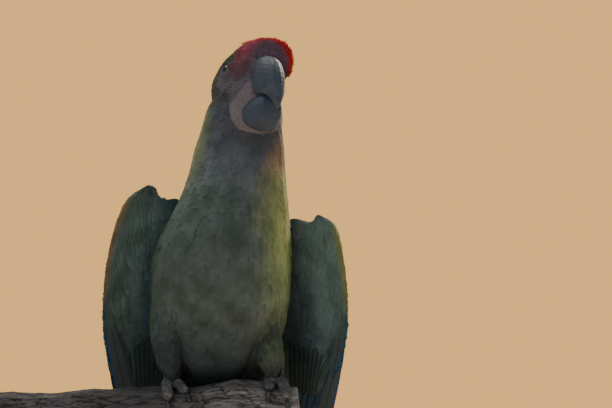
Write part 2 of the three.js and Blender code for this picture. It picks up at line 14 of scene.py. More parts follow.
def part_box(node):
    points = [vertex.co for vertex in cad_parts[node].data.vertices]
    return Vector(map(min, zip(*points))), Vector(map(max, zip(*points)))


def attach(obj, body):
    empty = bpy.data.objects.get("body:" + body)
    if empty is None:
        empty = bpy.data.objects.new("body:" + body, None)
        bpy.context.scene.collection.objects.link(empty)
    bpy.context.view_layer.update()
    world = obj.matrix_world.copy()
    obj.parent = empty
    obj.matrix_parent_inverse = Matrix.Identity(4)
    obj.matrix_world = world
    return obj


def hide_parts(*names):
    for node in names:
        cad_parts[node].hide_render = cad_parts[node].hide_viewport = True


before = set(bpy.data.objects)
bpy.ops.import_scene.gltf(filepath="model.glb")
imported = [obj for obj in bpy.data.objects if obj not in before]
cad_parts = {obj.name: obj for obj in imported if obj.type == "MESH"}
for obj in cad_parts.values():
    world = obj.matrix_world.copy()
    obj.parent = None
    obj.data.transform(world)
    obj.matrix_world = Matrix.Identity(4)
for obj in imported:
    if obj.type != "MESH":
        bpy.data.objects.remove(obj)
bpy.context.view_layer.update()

bl_info = {
    "name": "Military macaw",
    "version": (1, 0, 0),
    "blender": (4, 5, 0),
    "location": "3D View > Sidebar > Macaw",
    "description": "Builds a life-size macaw's skin, feathers, bill, eyes, feet, perch and stand",
    "category": "Object",
}

MM = 0.001
PERCH_TOP = 0.390  # height of the log's top, in metres: the bird's own frame has z = 0 there

# ---------------------------------------------------------------- colours


def linear(code):
    """A colour written as #rrggbb, as the linear values that shaders take."""
    parts = [int(code[i:i + 2], 16) / 255 for i in (1, 3, 5)]
    return tuple(p / 12.92 if p <= 0.04045 else ((p + 0.055) / 1.055) ** 2.4 for p in parts)


COLOURS = {
    "forehead": ("Forehead", "Bushy feathers over the bill", "#d3161f"),
    # Painted shade over the forehead's middle and at the roots of its feathers.
    "forehead_root": ("Forehead roots", "Shaded lower part of the bushy feathers", "#83687a"),
    "lores": ("Lores", "Feathered skin between eye and bill", "#614650"),
    "crown": ("Crown", "Top and sides of the head", "#414a3d"),
    "nape": ("Nape", "Back of the neck", "#3f7565"),
    "throat": ("Throat", "Under the bill", "#585b63"),
    "brick": ("Throat side", "Warm patch beside the throat", "#92755d"),
    # Partly the neck sides' own olive yellow, partly painted rim light.
    "neck_side": ("Neck side", "Olive yellow at the sides of the neck", "#96955a"),
    "breast": ("Breast", "Front of the neck and breast", "#5a6460"),
    # Partly the bird's own yellow green, partly painted rim light along its left side.
    "flank": ("Flank", "Yellow green along the bird's left side", "#9caa6a"),
    # Painted shade low on the belly and between the legs.
    "belly": ("Belly", "Lower belly and between the legs", "#3a444a"),
    "mantle": ("Mantle", "Back and shoulders", "#4a6a36"),
    "rump": ("Rump", "Rump and the coverts over the tail", "#3b8cb4"),
    "ear": ("Ear coverts", "Pale edge behind the bare face", "#5c5450"),
    "cheek_line": ("Cheek lines", "Tiny feathers in rows over the bare face", "#3a2b2c"),
    "covert": ("Upper coverts", "Small feathers of the wing's upper side", "#4c6a3c"),
    "rim_left": ("Left wing rim", "Yellow leading edge near the wrist", "#8d8b45"),
    "rim_right": ("Right wing rim", "Ochre leading edge near the wrist", "#8b6f4c"),
    "wing_blue": ("Wing blue", "Primary coverts and the rim of the hand", "#2c6a86"),
    "under_wing": ("Under wing", "Coverts of the wing's lower side", "#718685"),
    "flight": ("Flight feathers", "Their upper sides", "#1f66a6"),
    "flight_under": ("Flight feathers below", "Their lower sides", "#566467"),
    "tail": ("Tail", "Upper side of the tail", "#8c2f1d"),
    "tail_tip": ("Tail tip", "Blue end of the tail feathers", "#2e78ad"),
    "tail_under": ("Tail below", "Lower side of the tail", "#77692c"),
    "face_skin": ("Face skin", "Bare skin round the eye", "#5d5960"),
    "jaw_skin": ("Jaw skin", "Bare skin beside and under the lower bill", "#777075"),
    "iris": ("Iris", "Ring round the pupil", "#4f4d3f"),
    "horn": ("Horn", "Bill", "#424953"),
    "horn_worn": ("Worn horn", "Scuffed places of the bill", "#4d5560"),
    "foot": ("Foot skin", "Scales of the toes", "#68666c"),
    "bark": ("Bark", "Ridges of the log", "#7a7673"),
    "bark_deep": ("Bark cracks", "Cracks of the log", "#4e4947"),
    "bare_wood": ("Bare wood", "Broken end of the log", "#aca8a4"),
    "board": ("Board", "Wood of the stand's base", "#4b3122"),
}

# Fixed tones that markings and materials mix in, as linear values.
TONES = {
    "soft_patches": (0.62, 0.66, 0.6),
    # Painted highlight: the pale patch in each wing's crook.
    "crook_highlight": (0.27, 0.29, 0.33),
    # Painted shade over the inner part of a wing's lower side.
    "inner_wing_shade": (0.5, 0.53, 0.68),
    "inner_web": (0.012, 0.014, 0.018),
    "barb_gaps": (0.45, 0.45, 0.47),
    "shaft": (0.02, 0.018, 0.016),
    "skin_blotches": (0.82, 0.76, 0.77),
    "iris_flecks": (0.12, 0.105, 0.06),
    "iris_inside": (0.07, 0.045, 0.03),
    "iris_rim": (0.02, 0.015, 0.012),
    "pupil": (0.003, 0.003, 0.003),
    "horn_lines": (0.06, 0.066, 0.074),
    "horn_flakes": (0.12, 0.125, 0.13),
    "upper_horn": (0.97, 1.0, 1.06),
    "lower_horn": (0.93, 1.04, 1.2),
    "scale_gaps": (0.06, 0.057, 0.062),
    "foot_dust": (0.24, 0.22, 0.21),
    "claw": (0.018, 0.017, 0.018),
    "claw_streaks": (0.06, 0.056, 0.055),
    "bark_grain": (0.6, 0.57, 0.55),
    "lichen": (0.2, 0.19, 0.18),
    # Darker towards the log's left end.
    "darker_left_bark": (0.52, 0.53, 0.55),
    "wood_grain": (0.19, 0.165, 0.15),
    "board_grain": (0.135, 0.072, 0.04),
    "board_pores": (0.02, 0.012, 0.008),
    "steel_dark": (0.46, 0.46, 0.47),
    "steel_light": (0.62, 0.62, 0.63),
    "floor_dark": (0.70, 0.57, 0.42),
    "floor_light": (0.74, 0.61, 0.46),
}

# ---------------------------------------------------------------- the bird's own measures, in millimetres

HEAD_MIDDLE = (21.4, -14.0, 269.9)
HEAD_YAW, HEAD_PITCH, HEAD_ROLL = (math.radians(turn) for turn in (28.4, 21.9, 12.1))
EYE = {"x": -1.0, "y": 19.8, "z": 9.0, "radius": 7.0, "opening": 4.1, "iris": 4.5, "pupil": 2.4,
       "cornea": 4.4, "bulge": 0.45}
WRIST_TO_HAND = 0.7  # height share from the wrist to the place where a wing's spread is reached

# Height share from the wrist down, leading edge x, y and z, trailing edge x and y, for the left wing.
WING_ROWS = np.array([
    [0.00, 81.5, -19, 154.5, 44, 22],
    [0.06, 95.0, -21, 144, 36, 34],
    [0.16, 105.0, -17, 116, 30, 45],
    [0.30, 109.5, -7, 80, 30, 58],
    [0.44, 109.4, 6, 45, 34, 70],
    [0.56, 102.5, 19, 16, 40, 80],
    [0.68, 91.0, 33, -12, 45, 88],
])
# Lift raises the wrist. Shift and spread push the wing outwards at the wrist and at the hand, and bulge near
# its top. Knob is the chord share where the wrist's knob ends; behind it the upper edge steps down and rises
# again. The last entry is the chord share of the pale patch in the crook, a painted highlight.
WINGS = {
    "left": {
        "side": 1, "lift": 0, "knob": 0.27, "step": 7, "rise": 7, "shift": 0, "spread": 0, "bulge": 3.5,
        "highlight": 0.56,
    },
    "right": {
        "side": -1, "lift": 27, "knob": 0.46, "step": 11, "rise": 6.5, "shift": 1, "spread": 9, "bulge": -1,
        "highlight": 0.43,
    },
}
WING_CAMBER = 11.5
LIFT_END, BULGE_END, STEP_END = 0.6, 0.14, 0.25  # height shares where a wing's lift, bulge and step end
LEAN_LEAD, LEAN_TRAIL = 0.5, 0.2  # how far a wing's edges lean in for each millimetre of lift
STEP_SPAN, RISE_SPAN = (0, 0.12), (0.16, 0.4)  # chord shares behind the knob
# The tail's root, its lean, the middle pair's length and the outermost pair's share of it. Near is how far
# the middle pair lies to the side, and spread what the outermost adds. Its feathers are narrower by so much.
TAIL = {"x": -5, "y": 60, "z": -14, "lean": math.radians(14), "length": 326, "pairs": 6, "shortest": 0.46,
        "root_near": 3, "root_spread": 12, "tip_near": 1, "tip_spread": 15, "width": 26, "narrower": 5}

FLESH = ("head", "neck", "trunk", "leg_left", "leg_right", "wing_left", "wing_right")
BILL_CORE = len(FLESH)  # the skin's own part that runs on under the bill, where no feather grows


def head_matrix():
    """From the head's own frame (x forwards, y left, z up, millimetres) to the part's."""
    level = Vector((math.sin(HEAD_YAW), -math.cos(HEAD_YAW), 0))
    up = Vector((0, 0, 1))
    forwards = level * math.cos(HEAD_PITCH) + up * math.sin(HEAD_PITCH)
    left = Vector((math.cos(HEAD_YAW), math.sin(HEAD_YAW), 0))
    crown = up * math.cos(HEAD_PITCH) - level * math.sin(HEAD_PITCH)
    basis = Matrix((forwards, left, crown)).transposed().to_4x4()
    middle = Vector(HEAD_MIDDLE) * MM + Vector((0, 0, PERCH_TOP))
    return Matrix.Translation(middle) @ Matrix.Rotation(HEAD_ROLL, 4, "Y") @ basis @ Matrix.Scale(MM, 4)


HEAD_TO_PART = np.array(head_matrix())
PART_TO_HEAD = np.linalg.inv(HEAD_TO_PART)
HEAD_AXES = HEAD_TO_PART[:3, :3] / MM


def in_head(points):
    """Part places in the head's own frame."""
    return points @ PART_TO_HEAD[:3, :3].T + PART_TO_HEAD[:3, 3]


def from_head(points):
    """Places of the head's own frame in the part's."""
    return np.asarray(points, float) @ HEAD_TO_PART[:3, :3].T + HEAD_TO_PART[:3, 3]


def in_bird(points):
    """Part places in millimetres, counted from the perch's top."""
    return (points - (0, 0, PERCH_TOP)) / MM


def from_bird(points):
    """Millimetres counted from the perch's top as part places."""
    return np.asarray(points, float) * MM + (0, 0, PERCH_TOP)


def unit(rows):
    """Rows of vectors at length one."""
    return rows / np.maximum(np.linalg.norm(rows, axis=-1, keepdims=True), 1e-12)


def smooth(low, high, value):
    """0 below low, 1 above high, and a soft step between them. It also runs backwards."""
    share = np.clip((value - low) / (high - low), 0, 1)
    return share * share * (3 - 2 * share)


def mixed(colour, other, share):
    """Rows of colours with a share of another one."""
    return colour + (np.asarray(other) - colour) * np.asarray(share)[..., None]


def wing_frame(wing, share):
    """Leading edge, chord and outward normal of a wing at the given height shares."""
    lead_x, lead_y, lead_z, trail_x, trail_y = (
        np.interp(share, WING_ROWS[:, 0], WING_ROWS[:, k]) for k in range(1, 6)
    )
    side = wing["side"]
    raised = (1 - np.clip(share / LIFT_END, 0, 1)) ** 1.2
    lifted = wing["lift"] * raised
    push = wing["shift"] + (wing["spread"] - wing["shift"]) * (share / WRIST_TO_HAND) ** 4
    push = push + wing["bulge"] * (1 - np.clip(share / BULGE_END, 0, 1))
    lead = np.stack([side * (lead_x + push - LEAN_LEAD * lifted * raised ** 2), lead_y, lead_z + lifted], -1)
    trail = np.stack([side * (trail_x - LEAN_TRAIL * lifted), trail_y, lead_z + lifted], -1)
    chord = trail - lead
    outwards = unit(np.stack([chord[..., 1] * side, -chord[..., 0] * side, 0 * chord[..., 0]], -1))
    return lead, chord, outwards


def wing_point(wing, share, across, lift):
    """A place on a wing's cambered panel, lifted off it by so many millimetres."""
    lead, chord, outwards = wing_frame(wing, share)
    behind = across - wing["knob"]
    below = wing["step"] * smooth(*STEP_SPAN, behind) - wing["rise"] * smooth(*RISE_SPAN, behind)
    drop = np.asarray(below * (1 - np.clip(share / STEP_END, 0, 1)))[..., None] * (0, 0, 1)
    across, lift = (np.asarray(value, float)[..., None] for value in (across, lift))
    camber = WING_CAMBER * np.sin(math.pi * np.clip(across, 0, 1) ** 0.75)
    return lead + chord * across + outwards * (camber + lift) - drop


def wing_shares(wing, places):
    """Height share and chord share of places on a wing."""
    shares = np.linspace(0, 0.75, 76)
    rows = wing_frame(wing, shares)[0]
    share = np.interp(-places[:, 2], -rows[:, 2], shares)
    lead, chord, outwards = wing_frame(wing, share)
    across = ((places - lead) * chord)[:, :2].sum(1) / (chord[:, :2] ** 2).sum(1)
    return share, across, outwards


# ---------------------------------------------------------------- meshes as arrays


def rows_of(items, key, kind=float):
    """One triple of numbers for each item of a mesh, as rows."""
    flat = np.empty(len(items) * 3, kind)
    items.foreach_get(key, flat)
    return flat.reshape(-1, 3)


def coordinates(mesh):
    """A mesh's points as rows."""
    return rows_of(mesh.vertices, "co")


def point_normals(mesh):
    """A mesh's smooth normals as rows."""
    return rows_of(mesh.vertex_normals, "vector")


def triangles_of(mesh):
    """The points of each triangle of a mesh."""
    mesh.calc_loop_triangles()
    return rows_of(mesh.loop_triangles, "vertices", np.int32)


def move_points(mesh, points):
    """Writes rows of places back to a mesh."""
    mesh.vertices.foreach_set("co", np.ascontiguousarray(points, np.float32).ravel())
    mesh.update()


def paint_points(mesh, name, colours):
    """Stores a colour for each point of a mesh."""
    layer = mesh.color_attributes.new(name, "FLOAT_COLOR", "POINT")
    full = np.ones((len(mesh.vertices), 4), np.float32)
    full[:, :3] = colours
    layer.data.foreach_set("color", full.ravel())


def store_values(mesh, name, values):
    """Stores a number for each point of a mesh."""
    layer = mesh.attributes.new(name, "FLOAT", "POINT")
    layer.data.foreach_set("value", np.ascontiguousarray(values, np.float32))


def new_object(name, mesh):
    """An object of the scene that shows a mesh."""
    made = bpy.data.objects.new(name, mesh)
    bpy.context.scene.collection.objects.link(made)
    return made


def mesh_of(name, made):
    """A bmesh as a smooth-shaded object."""
    mesh = bpy.data.meshes.new(name)
    made.to_mesh(mesh)
    made.free()
    mesh.shade_smooth()
    return new_object(name, mesh)


def baked(made):
    """The object with its modifiers turned into plain mesh."""
    depsgraph = bpy.context.evaluated_depsgraph_get()
    mesh = bpy.data.meshes.new_from_object(made.evaluated_get(depsgraph))
    made.modifiers.clear()
    old = made.data
    made.data = mesh
    bpy.data.meshes.remove(old)
    mesh.name = made.name
    mesh.shade_smooth()
    return made


def finished(made, slot, material, *nodes):
    """Fixes a piece to the bird, gives it its finish and hides the nodes that it stands for."""
    made.data.materials.clear()
    made.data.materials.append(material)
    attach(made, "root")
    if nodes:
        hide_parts(*nodes)
    return made


def merged_copy(*names):
    """Copies of nodes in one bmesh, their loose triangles joined to closed shells."""
    made = bmesh.new()
    for name in names:
        made.from_mesh(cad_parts[name].data)
    bmesh.ops.remove_doubles(made, verts=made.verts, dist=0.01 * MM)
    return made


SMOOTHING_PASS = (0.5, -0.53)


def smoothed(mesh, times):
    """Evens out a mesh and keeps its volume: each pass inwards is followed by one back outwards."""
    even = bmesh.new()
    even.from_mesh(mesh)
    for factor in SMOOTHING_PASS * times:
        bmesh.ops.smooth_vert(
            even, verts=even.verts, factor=factor, use_axis_x=True, use_axis_y=True, use_axis_z=True
        )
    even.to_mesh(mesh)
    even.free()


# Width of a cell in millimetres and number of smoothing passes, for each kind of remeshed piece.
FINENESS = {"skin": (2.0, 12), "bill": (0.7, 50), "foot": (0.75, 4), "claw": (0.4, 8), "log": (1.6, 3)}


def remeshed(name, made, kind):
    """A bmesh of one or more shells as one even skin of small faces."""
    cell, times = FINENESS[kind]
    skin = mesh_of(name, made)
    modifier = skin.modifiers.new("Even faces", "REMESH")
    modifier.mode = "VOXEL"
    modifier.voxel_size = cell * MM
    baked(skin)
    smoothed(skin.data, times)
    return skin


class Surface:
    """A mesh that can be asked for its nearest places and for the part that each triangle belongs to."""

    def __init__(self, mesh, labels=None):
        self.points = coordinates(mesh)
        self.corners = triangles_of(mesh)
        self.facing = unit(point_normals(mesh)[self.corners].mean(1))
        self.labels = None if labels is None else labels[self.corners[:, 0]]
        self.tree = BVHTree.FromPolygons(self.points.tolist(), self.corners.tolist())

    def nearest(self, places):
        """The nearest places and the smooth normals there."""
        found = [self.tree.find_nearest(p) for p in places.tolist()]
        spots = np.array([spot[0] for spot in found])
        return spots, self.facing[[spot[2] for spot in found]]


# ---------------------------------------------------------------- zones of the head and body


# Ovals of the head seen from its side, in its own frame: middle, half width, and half height above and below.
OVALS = {
    "face": {"x": 5.5, "z": 1.0, "wide": 18.5, "above": 14.0, "below": 16.5},
    "jaw": {"x": 16.0, "z": -22.0, "wide": 16.0, "above": 29.0, "below": 29.0},
    "chin": {"x": 26.0, "z": -9.0, "wide": 14.0, "above": 29.0, "below": 29.0},
    "lores": {"x": 20.0, "z": 9.0, "wide": 14.0, "above": 15.0, "below": 15.0},
    "ear": {"x": -15.0, "z": -6.0, "wide": 8.0, "above": 15.0, "below": 15.0},
}
CREST_MIDDLE, CREST_SIZE, CREST_SLANT = (25, 3, 16.5), (17, 29.5, 25), 0.17


def from_oval(head, name):
    """Distance of places from an oval's middle, 1 on its rim."""
    oval = OVALS[name]
    x, _, z = head.T
    tall = np.where(z > oval["z"], oval["above"], oval["below"])
    return np.hypot((x - oval["x"]) / oval["wide"], (z - oval["z"]) / tall)


def bare_share(head):
    """How bare the skin is, for places in the head's frame."""
    x, y, z = head.T
    wave = 0.05 * np.sin(0.9 * z + 0.4 * x) + 0.04 * np.sin(1.7 * x - 0.6 * z)
    near = np.minimum(from_oval(head, "face") + wave, from_oval(head, "jaw") + wave)
    bare = smooth(1.08, 0.92, np.minimum(near, from_oval(head, "chin")))
    below_crown = np.maximum(smooth(9, 13, np.abs(y)), smooth(12, 6, z))
    return bare * below_crown * (1 - crest_share(head)) * smooth(42, 36, np.abs(y))


def crest_share(head):
    """How far places in the head's frame belong to the bushy forehead."""
    x, y, z = head.T
    away = np.stack([x, y, z], -1) - CREST_MIDDLE
    away[:, 2] -= CREST_SLANT * y
    far = np.sqrt(((away / CREST_SIZE) ** 2).sum(1))
    return smooth(1.12, 0.94, far) * smooth(0, 6, z - 9 * smooth(8, -16, y))


def lores_share(head):
    """How far places belong to the reddish skin between eye and bill."""
    return smooth(1.2, 0.6, from_oval(head, "lores"))


def along_line(places, line):
    """Distance of places from a line of several stretches."""
    least = np.full(len(places), np.inf)
    for start, end in zip(np.array(line[:-1], float), np.array(line[1:], float)):
        way = end - start
        share = np.clip(((places - start) @ way) / (way @ way), 0, 1)
        least = np.minimum(least, np.linalg.norm(places - start - share[:, None] * way, axis=1))
    return least


# Creases between the belly and the thighs, as x and z seen from the front, in millimetres.
CREASE_DEPTH, CREASE_WIDTH = 2.6, 4.5
THIGH_CREASES = (((-47, 62), (-41, 40), (-38, 20), (-37, -4)), ((44, 62), (33, 44), (22, 26), (13, 6)))


def creases(bird, facing):
    """How deep the plumage dips between belly and thighs, in millimetres."""
    least = np.min([along_line(bird[:, [0, 2]], line) for line in THIGH_CREASES], axis=0)
    return CREASE_DEPTH * np.exp(-(least / CREASE_WIDTH) ** 2) * smooth(0.1, -0.3, facing[:, 1])


# Thickness of the plumage by part, what the crest adds, and what a wing's rim and the jaw's skin take off.
DEPTHS = {"head": 0.8, "neck": 1.3, "trunk": 1.5, "leg": 1.5, "wing": 1.2}
CREST_ADDS, RIM_TAKES, JAW_TAKES = 0.9, 0.7, 0.6


def coat_depth(points, part):
    """Thickness of the plumage, in millimetres."""
    head = in_head(points)
    by_part = np.array([DEPTHS[name.split("_")[0]] for name in FLESH])
    depth = by_part[part] - RIM_TAKES * rim_share(points, part)
    on_head = part == FLESH.index("head")
    depth = np.where(on_head, depth + CREST_ADDS * crest_share(head), depth)
    bare = bare_share(head)
    under_jaw = -JAW_TAKES * smooth(-30, -42, head[:, 2])
    return np.where(on_head, depth * (1 - bare) + under_jaw * bare, depth)


def feather_gap(points, part):
    """Distance from feather to feather, in millimetres."""
    head = in_head(points)
    x, _, z = in_bird(points).T
    settings = bpy.context.scene.macaw_coat
    body_gap = settings.body_gap / MM
    head_gap = settings.head_gap / MM
    wing_gap = settings.wing_gap / MM
    on_head = head_gap * (1 + 0.5 * smooth(0, -35, head[:, 0])) * (1 - 0.25 * crest_share(head))
    on_neck = head_gap * 1.1 + (body_gap - head_gap * 1.1) * smooth(228, 165, z)
    on_trunk = body_gap * (1 + 0.35 * smooth(0, -70, z))
    on_leg = 0.72 * body_gap + 0 * x
    gap = np.choose(part, [on_head, on_neck, on_trunk, on_leg, on_leg, on_trunk, on_trunk, on_head])
    for name, wing in WINGS.items():
        share, across, _ = wing_shares(wing, in_bird(points))
        inner = wing_gap * (0.45 + 0.17 * smooth(0, 0.1, share) + 1.0 * smooth(0.02, 0.62, share))
        size = 0.3 * wing_gap + (inner - 0.3 * wing_gap) * smooth(0.0, 0.2, across)
        gap = np.where(part == FLESH.index(f"wing_{name}"), size, gap)
    return gap


def rim_share(points, part):
    """How near places are to a wing's leading edge, 1 on it."""
    near = np.zeros(len(points))
    for name, wing in WINGS.items():
        across = wing_shares(wing, in_bird(points))[1]
        near = np.where(part == FLESH.index(f"wing_{name}"), smooth(0.16, 0.02, across), near)
    return near


def lie(points, facing, part):
    """The way feathers point along the surface."""
    head = in_head(points)
    bird = in_bird(points)
    down = np.tile((0, 0.2, -1), (len(points), 1))
    for name, wing in WINGS.items():
        share, across, _ = wing_shares(wing, bird)
        across = np.clip(across, 0, 1)
        chord = wing_frame(wing, share)[1]
        run = wing_point(wing, share + 0.03, across, 0) - wing_point(wing, share, across, 0)
        inwards = 0.3 * unit(chord) * (smooth(0.0, 0.2, across) * smooth(0.9, 0.4, across))[:, None]
        along = unit(unit(run) + inwards)
        down = np.where((part == FLESH.index(f"wing_{name}"))[:, None], along, down)
    from_bill = unit(head - (34, 0, -2))
    far = np.linalg.norm(head - (32, 0, 14), axis=1)[:, None]
    forehead = unit((1.0, 0, 0.9) + smooth(5, 17, far) * (-0.9, 0, 0.2) + 0.02 * head * (0, 1, 0))
    from_bill = unit(from_bill * smooth(4, 14, far) + 1.2 * forehead * crest_share(head)[:, None])
    from_bill = from_bill @ HEAD_AXES.T
    on_head = smooth(222, 252, bird[:, 2])
    way = down + (from_bill - down) * on_head[:, None]
    way = way - (way * facing).sum(1, keepdims=True) * facing
    return unit(way)


# Trunk and neck at four heights: middle x, half width, and y of the axis that the coat is unwrapped round.
BODY_HEIGHTS = (0, 90, 176, 256)
BODY_MIDDLE, BODY_HALF, BODY_AXIS = (-6, -4.5, 8, 17.5), (37, 64, 48, 33), (45, 0, -6, -7)


def body_marking(paint, bird, facing):
    """Colours of neck, trunk and thighs, with painted light up the bird's left side and on the upper neck,
    and painted shade low on the belly and in the creases by the thighs.
    """
    x, _, z = bird.T
    ahead = 0.8 * np.maximum(-facing[:, 2], 0) - facing[:, 1]
    front = smooth(-0.3, 0.5, ahead)
    lateral = (x - np.interp(z, BODY_HEIGHTS, BODY_MIDDLE)) / np.interp(z, BODY_HEIGHTS, BODY_HALF)
    left_side = smooth(0.4, 1.0, lateral)
    right_side = smooth(-0.55, -1.0, lateral)
    forwards = smooth(-0.55, 0.1, ahead)

    colour = np.tile(paint["mantle"], (len(bird), 1))
    colour = mixed(colour, paint["breast"], front)
    # Painted shade: darker and bluer low on the belly and between the legs.
    colour = mixed(colour, paint["belly"], front * smooth(95, 15, z))
    # Yellow green up the bird's left side: partly its own colour, partly painted rim light.
    flank_and_rim_light = front * left_side * smooth(224, 200, z)
    colour = mixed(colour, paint["flank"], flank_and_rim_light * (0.2 * smooth(0, 60, z) + 0.8 * smooth(60, 150, z)))
    colour = mixed(colour, paint["nape"], (1 - front) * smooth(150, 215, z))
    # Olive yellow neck sides, stronger on the bird's left: partly their own colour, partly painted rim light.
    low_neck = smooth(0.15, 0.7, lateral) * smooth(140, 165, z) * smooth(205, 188, z)
    sides = np.maximum(left_side * smooth(120, 165, z), 0.4 * low_neck) * smooth(214, 196, z)
    sides = np.maximum(sides, 0.45 * right_side * smooth(165, 215, z))
    throat = smooth(165, 218, z + 12 * lateral) * smooth(-0.25, 0.35, ahead)
    colour = mixed(colour, paint["throat"], throat * smooth(1.0, 0.6, np.abs(lateral)))
    edge = np.interp(z, [195, 214, 232], [0.5, 0.7, 0.9])
    brick = smooth(190, 203, z) * smooth(-0.2, 0.15, lateral - edge) * smooth(238, 224, z)
    colour = mixed(colour, paint["brick"], 0.9 * brick * smooth(-0.2, 0.4, ahead))
    colour = mixed(colour, paint["neck_side"], sides * forwards * (1 - 0.7 * brick))
    colour = mixed(colour, paint["rump"], smooth(0, -45, z) * smooth(-0.4, 0.3, facing[:, 1]))
    # Painted light up the bird's left side and on the upper neck; painted shade in the creases by the thighs.
    lit = np.maximum(smooth(0.1, 0.5, lateral) * smooth(50, 110, z), smooth(160, 195, z))
    lit = lit * smooth(228, 206, z)
    tone = (1 + 0.3 * lit * front) * (1 - 0.4 * creases(bird, facing) / CREASE_DEPTH)
    return colour * tone[:, None]


def head_marking(paint, head, colour):
    """Colours of the head's feathers, which run into the neck's, with painted shade over the forehead's
    middle near the bill.
    """
    x, y, z = head.T
    cap = mixed(np.tile(paint["crown"], (len(head), 1)), paint["nape"], smooth(-8, -34, x))
    colour = mixed(colour, cap, smooth(-22, -4, z + 0.3 * x))
    colour = mixed(colour, paint["ear"], 0.75 * smooth(1.3, 0.9, from_oval(head, "ear")))
    # Painted shade: the forehead is dark near the bill and red only towards its rim, and darker still on the
    # bird's right side.
    far = np.sqrt(0.5 * (x - 34) ** 2 + y ** 2 + (0.85 * (z - 8)) ** 2)
    shaded = 0.5 * smooth(-4, -18, y) * smooth(36, 24, z)
    red = np.tile(paint["forehead_root"], (len(head), 1))
    red = mixed(red, paint["forehead"], smooth(13.5, 21, far) * (1 - shaded))
    share = crest_share(head)[:, None]
    return colour * (1 - share) + red * share


def wing_marking(paint, name, bird, facing):
    """Colours of a wing's coverts: green above with a blue hand, grey green below with painted shade over its
    inner part, a painted highlight in the crook, and a bright rim.
    """
    share, across, outwards = wing_shares(WINGS[name], bird)

    def down_the_wing(upper, lower, low, high):
        return mixed(np.tile(paint[upper], (len(bird), 1)), paint[lower], smooth(low, high, share))

    above = down_the_wing("covert", "wing_blue", 0.4, 0.5)
    below = down_the_wing("under_wing", "flight_under", 0.25, 0.6)
    rim = down_the_wing(f"rim_{name}", "wing_blue", 0.3, 0.4)
    # Painted shade over the inner part of the lower side, near the body and towards the trailing edge.
    inner = smooth(0.34, 0.52, across) * smooth(0.1, 0.3, share)
    below = mixed(below, below * TONES["inner_wing_shade"], np.maximum(inner, smooth(0.4, 0.8, across)))
    # Painted highlight: a pale patch in the crook.
    highlight = np.hypot((across - WINGS[name]["highlight"]) / 0.07, (share - 0.06) / 0.035)
    below = mixed(below, TONES["crook_highlight"], 0.7 * smooth(1.2, 0.5, highlight))
    below = mixed(below, paint["flight_under"] * 0.8, smooth(0.03, 0.0, share))
    below = mixed(below, paint["covert"] * 0.7, smooth(0.86, 0.96, across))
    colour = mixed(below, above, smooth(-0.6, -0.1, (facing * outwards).sum(1)))
    rim_colour = mixed(colour, rim, 0.85 * smooth(0.09, 0.0, across))
    return mixed(colour, rim_colour, smooth(-0.02, 0.1, share))


JAW_EDGE = (-25, -20.6, -14.4, -11.4, -5), (0, 14, 23.5, 26.5, 33)  # z and x of the pale jaw skin's rear edge


def skin_marking(paint, head, colour):
    """Colours of the bare face over a ground colour."""
    x, _, z = head.T
    beyond = x - np.interp(z, *JAW_EDGE)
    skin = mixed(np.tile(paint["face_skin"], (len(head), 1)), paint["jaw_skin"], smooth(-1.5, 2.0, beyond))
    # Towards the crown the skin takes the crown's colour, darkened as painted shade.
    skin = mixed(skin, paint["crown"] * 0.7, smooth(11, 15, z))
    skin = mixed(skin, paint["lores"], lores_share(head))
    bare = smooth(0.35, 0.7, bare_share(head))[:, None]
    return colour * (1 - bare) + skin * bare


def marking(points, facing, part, with_skin=False):
    """The plumage's colours, and the bare skin's where it is asked for."""
    paint = {name: np.array(getattr(bpy.context.scene.macaw_colours, name)) for name in COLOURS}
    head = in_head(points)
    bird = in_bird(points)
    colour = body_marking(paint, bird, facing)
    on_head = ((part == FLESH.index("head")) | (part == BILL_CORE))[:, None]
    colour = np.where(on_head, head_marking(paint, head, colour), colour)
    for name in WINGS:
        mine = (part == FLESH.index(f"wing_{name}"))[:, None]
        colour = np.where(mine, wing_marking(paint, name, bird, facing), colour)
    if with_skin:
        colour = np.where(on_head, skin_marking(paint, head, colour), colour)
    return np.clip(colour, 0, 1)


# ---------------------------------------------------------------- shader helpers


def new_material(name, roughness, specular=0.5, **more):
    """A material with a Principled shader whose plain values are set on its own sockets."""
    material = bpy.data.materials.new(name)
    material.use_nodes = True
    shader = material.node_tree.nodes["Principled BSDF"]
    shader.inputs["Roughness"].default_value = roughness
    shader.inputs["Specular IOR Level"].default_value = specular
    for socket, value in more.items():
        shader.inputs[socket.replace("_", " ")].default_value = value
    return material, material.node_tree, shader


def add_node(tree, kind, settings=None, **values):
    """A node with its settings and the values of its sockets."""
    made = tree.nodes.new(kind)
    for key, value in (settings or {}).items():
        setattr(made, key, value)
    for key, value in values.items():
        socket = made.inputs[key.replace("_", " ")]
        if isinstance(value, bpy.types.NodeSocket):
            tree.links.new(value, socket)
        else:
            socket.default_value = value
    return made


def mix_colour(tree, share, first, second, blend="MIX"):
    """The output of a colour mix. Each input is a socket or a value."""
    made = tree.nodes.new("ShaderNodeMix")
    made.data_type = "RGBA"
    made.blend_type = blend
    for socket, value in ((made.inputs[0], share), (made.inputs[6], first), (made.inputs[7], second)):
        if isinstance(value, bpy.types.NodeSocket):
            tree.links.new(value, socket)
        elif socket == made.inputs[0]:
            socket.default_value = value
        else:
            socket.default_value = (*value, 1)
    return made.outputs[2]


def ramp(tree, source, low, high):
    """A soft mask: 0 where the source is low, 1 where it is high."""
    made = add_node(tree, "ShaderNodeMapRange", {"interpolation_type": "SMOOTHSTEP"},
                    Value=source, From_Min=low, From_Max=high)
    return made.outputs["Result"]


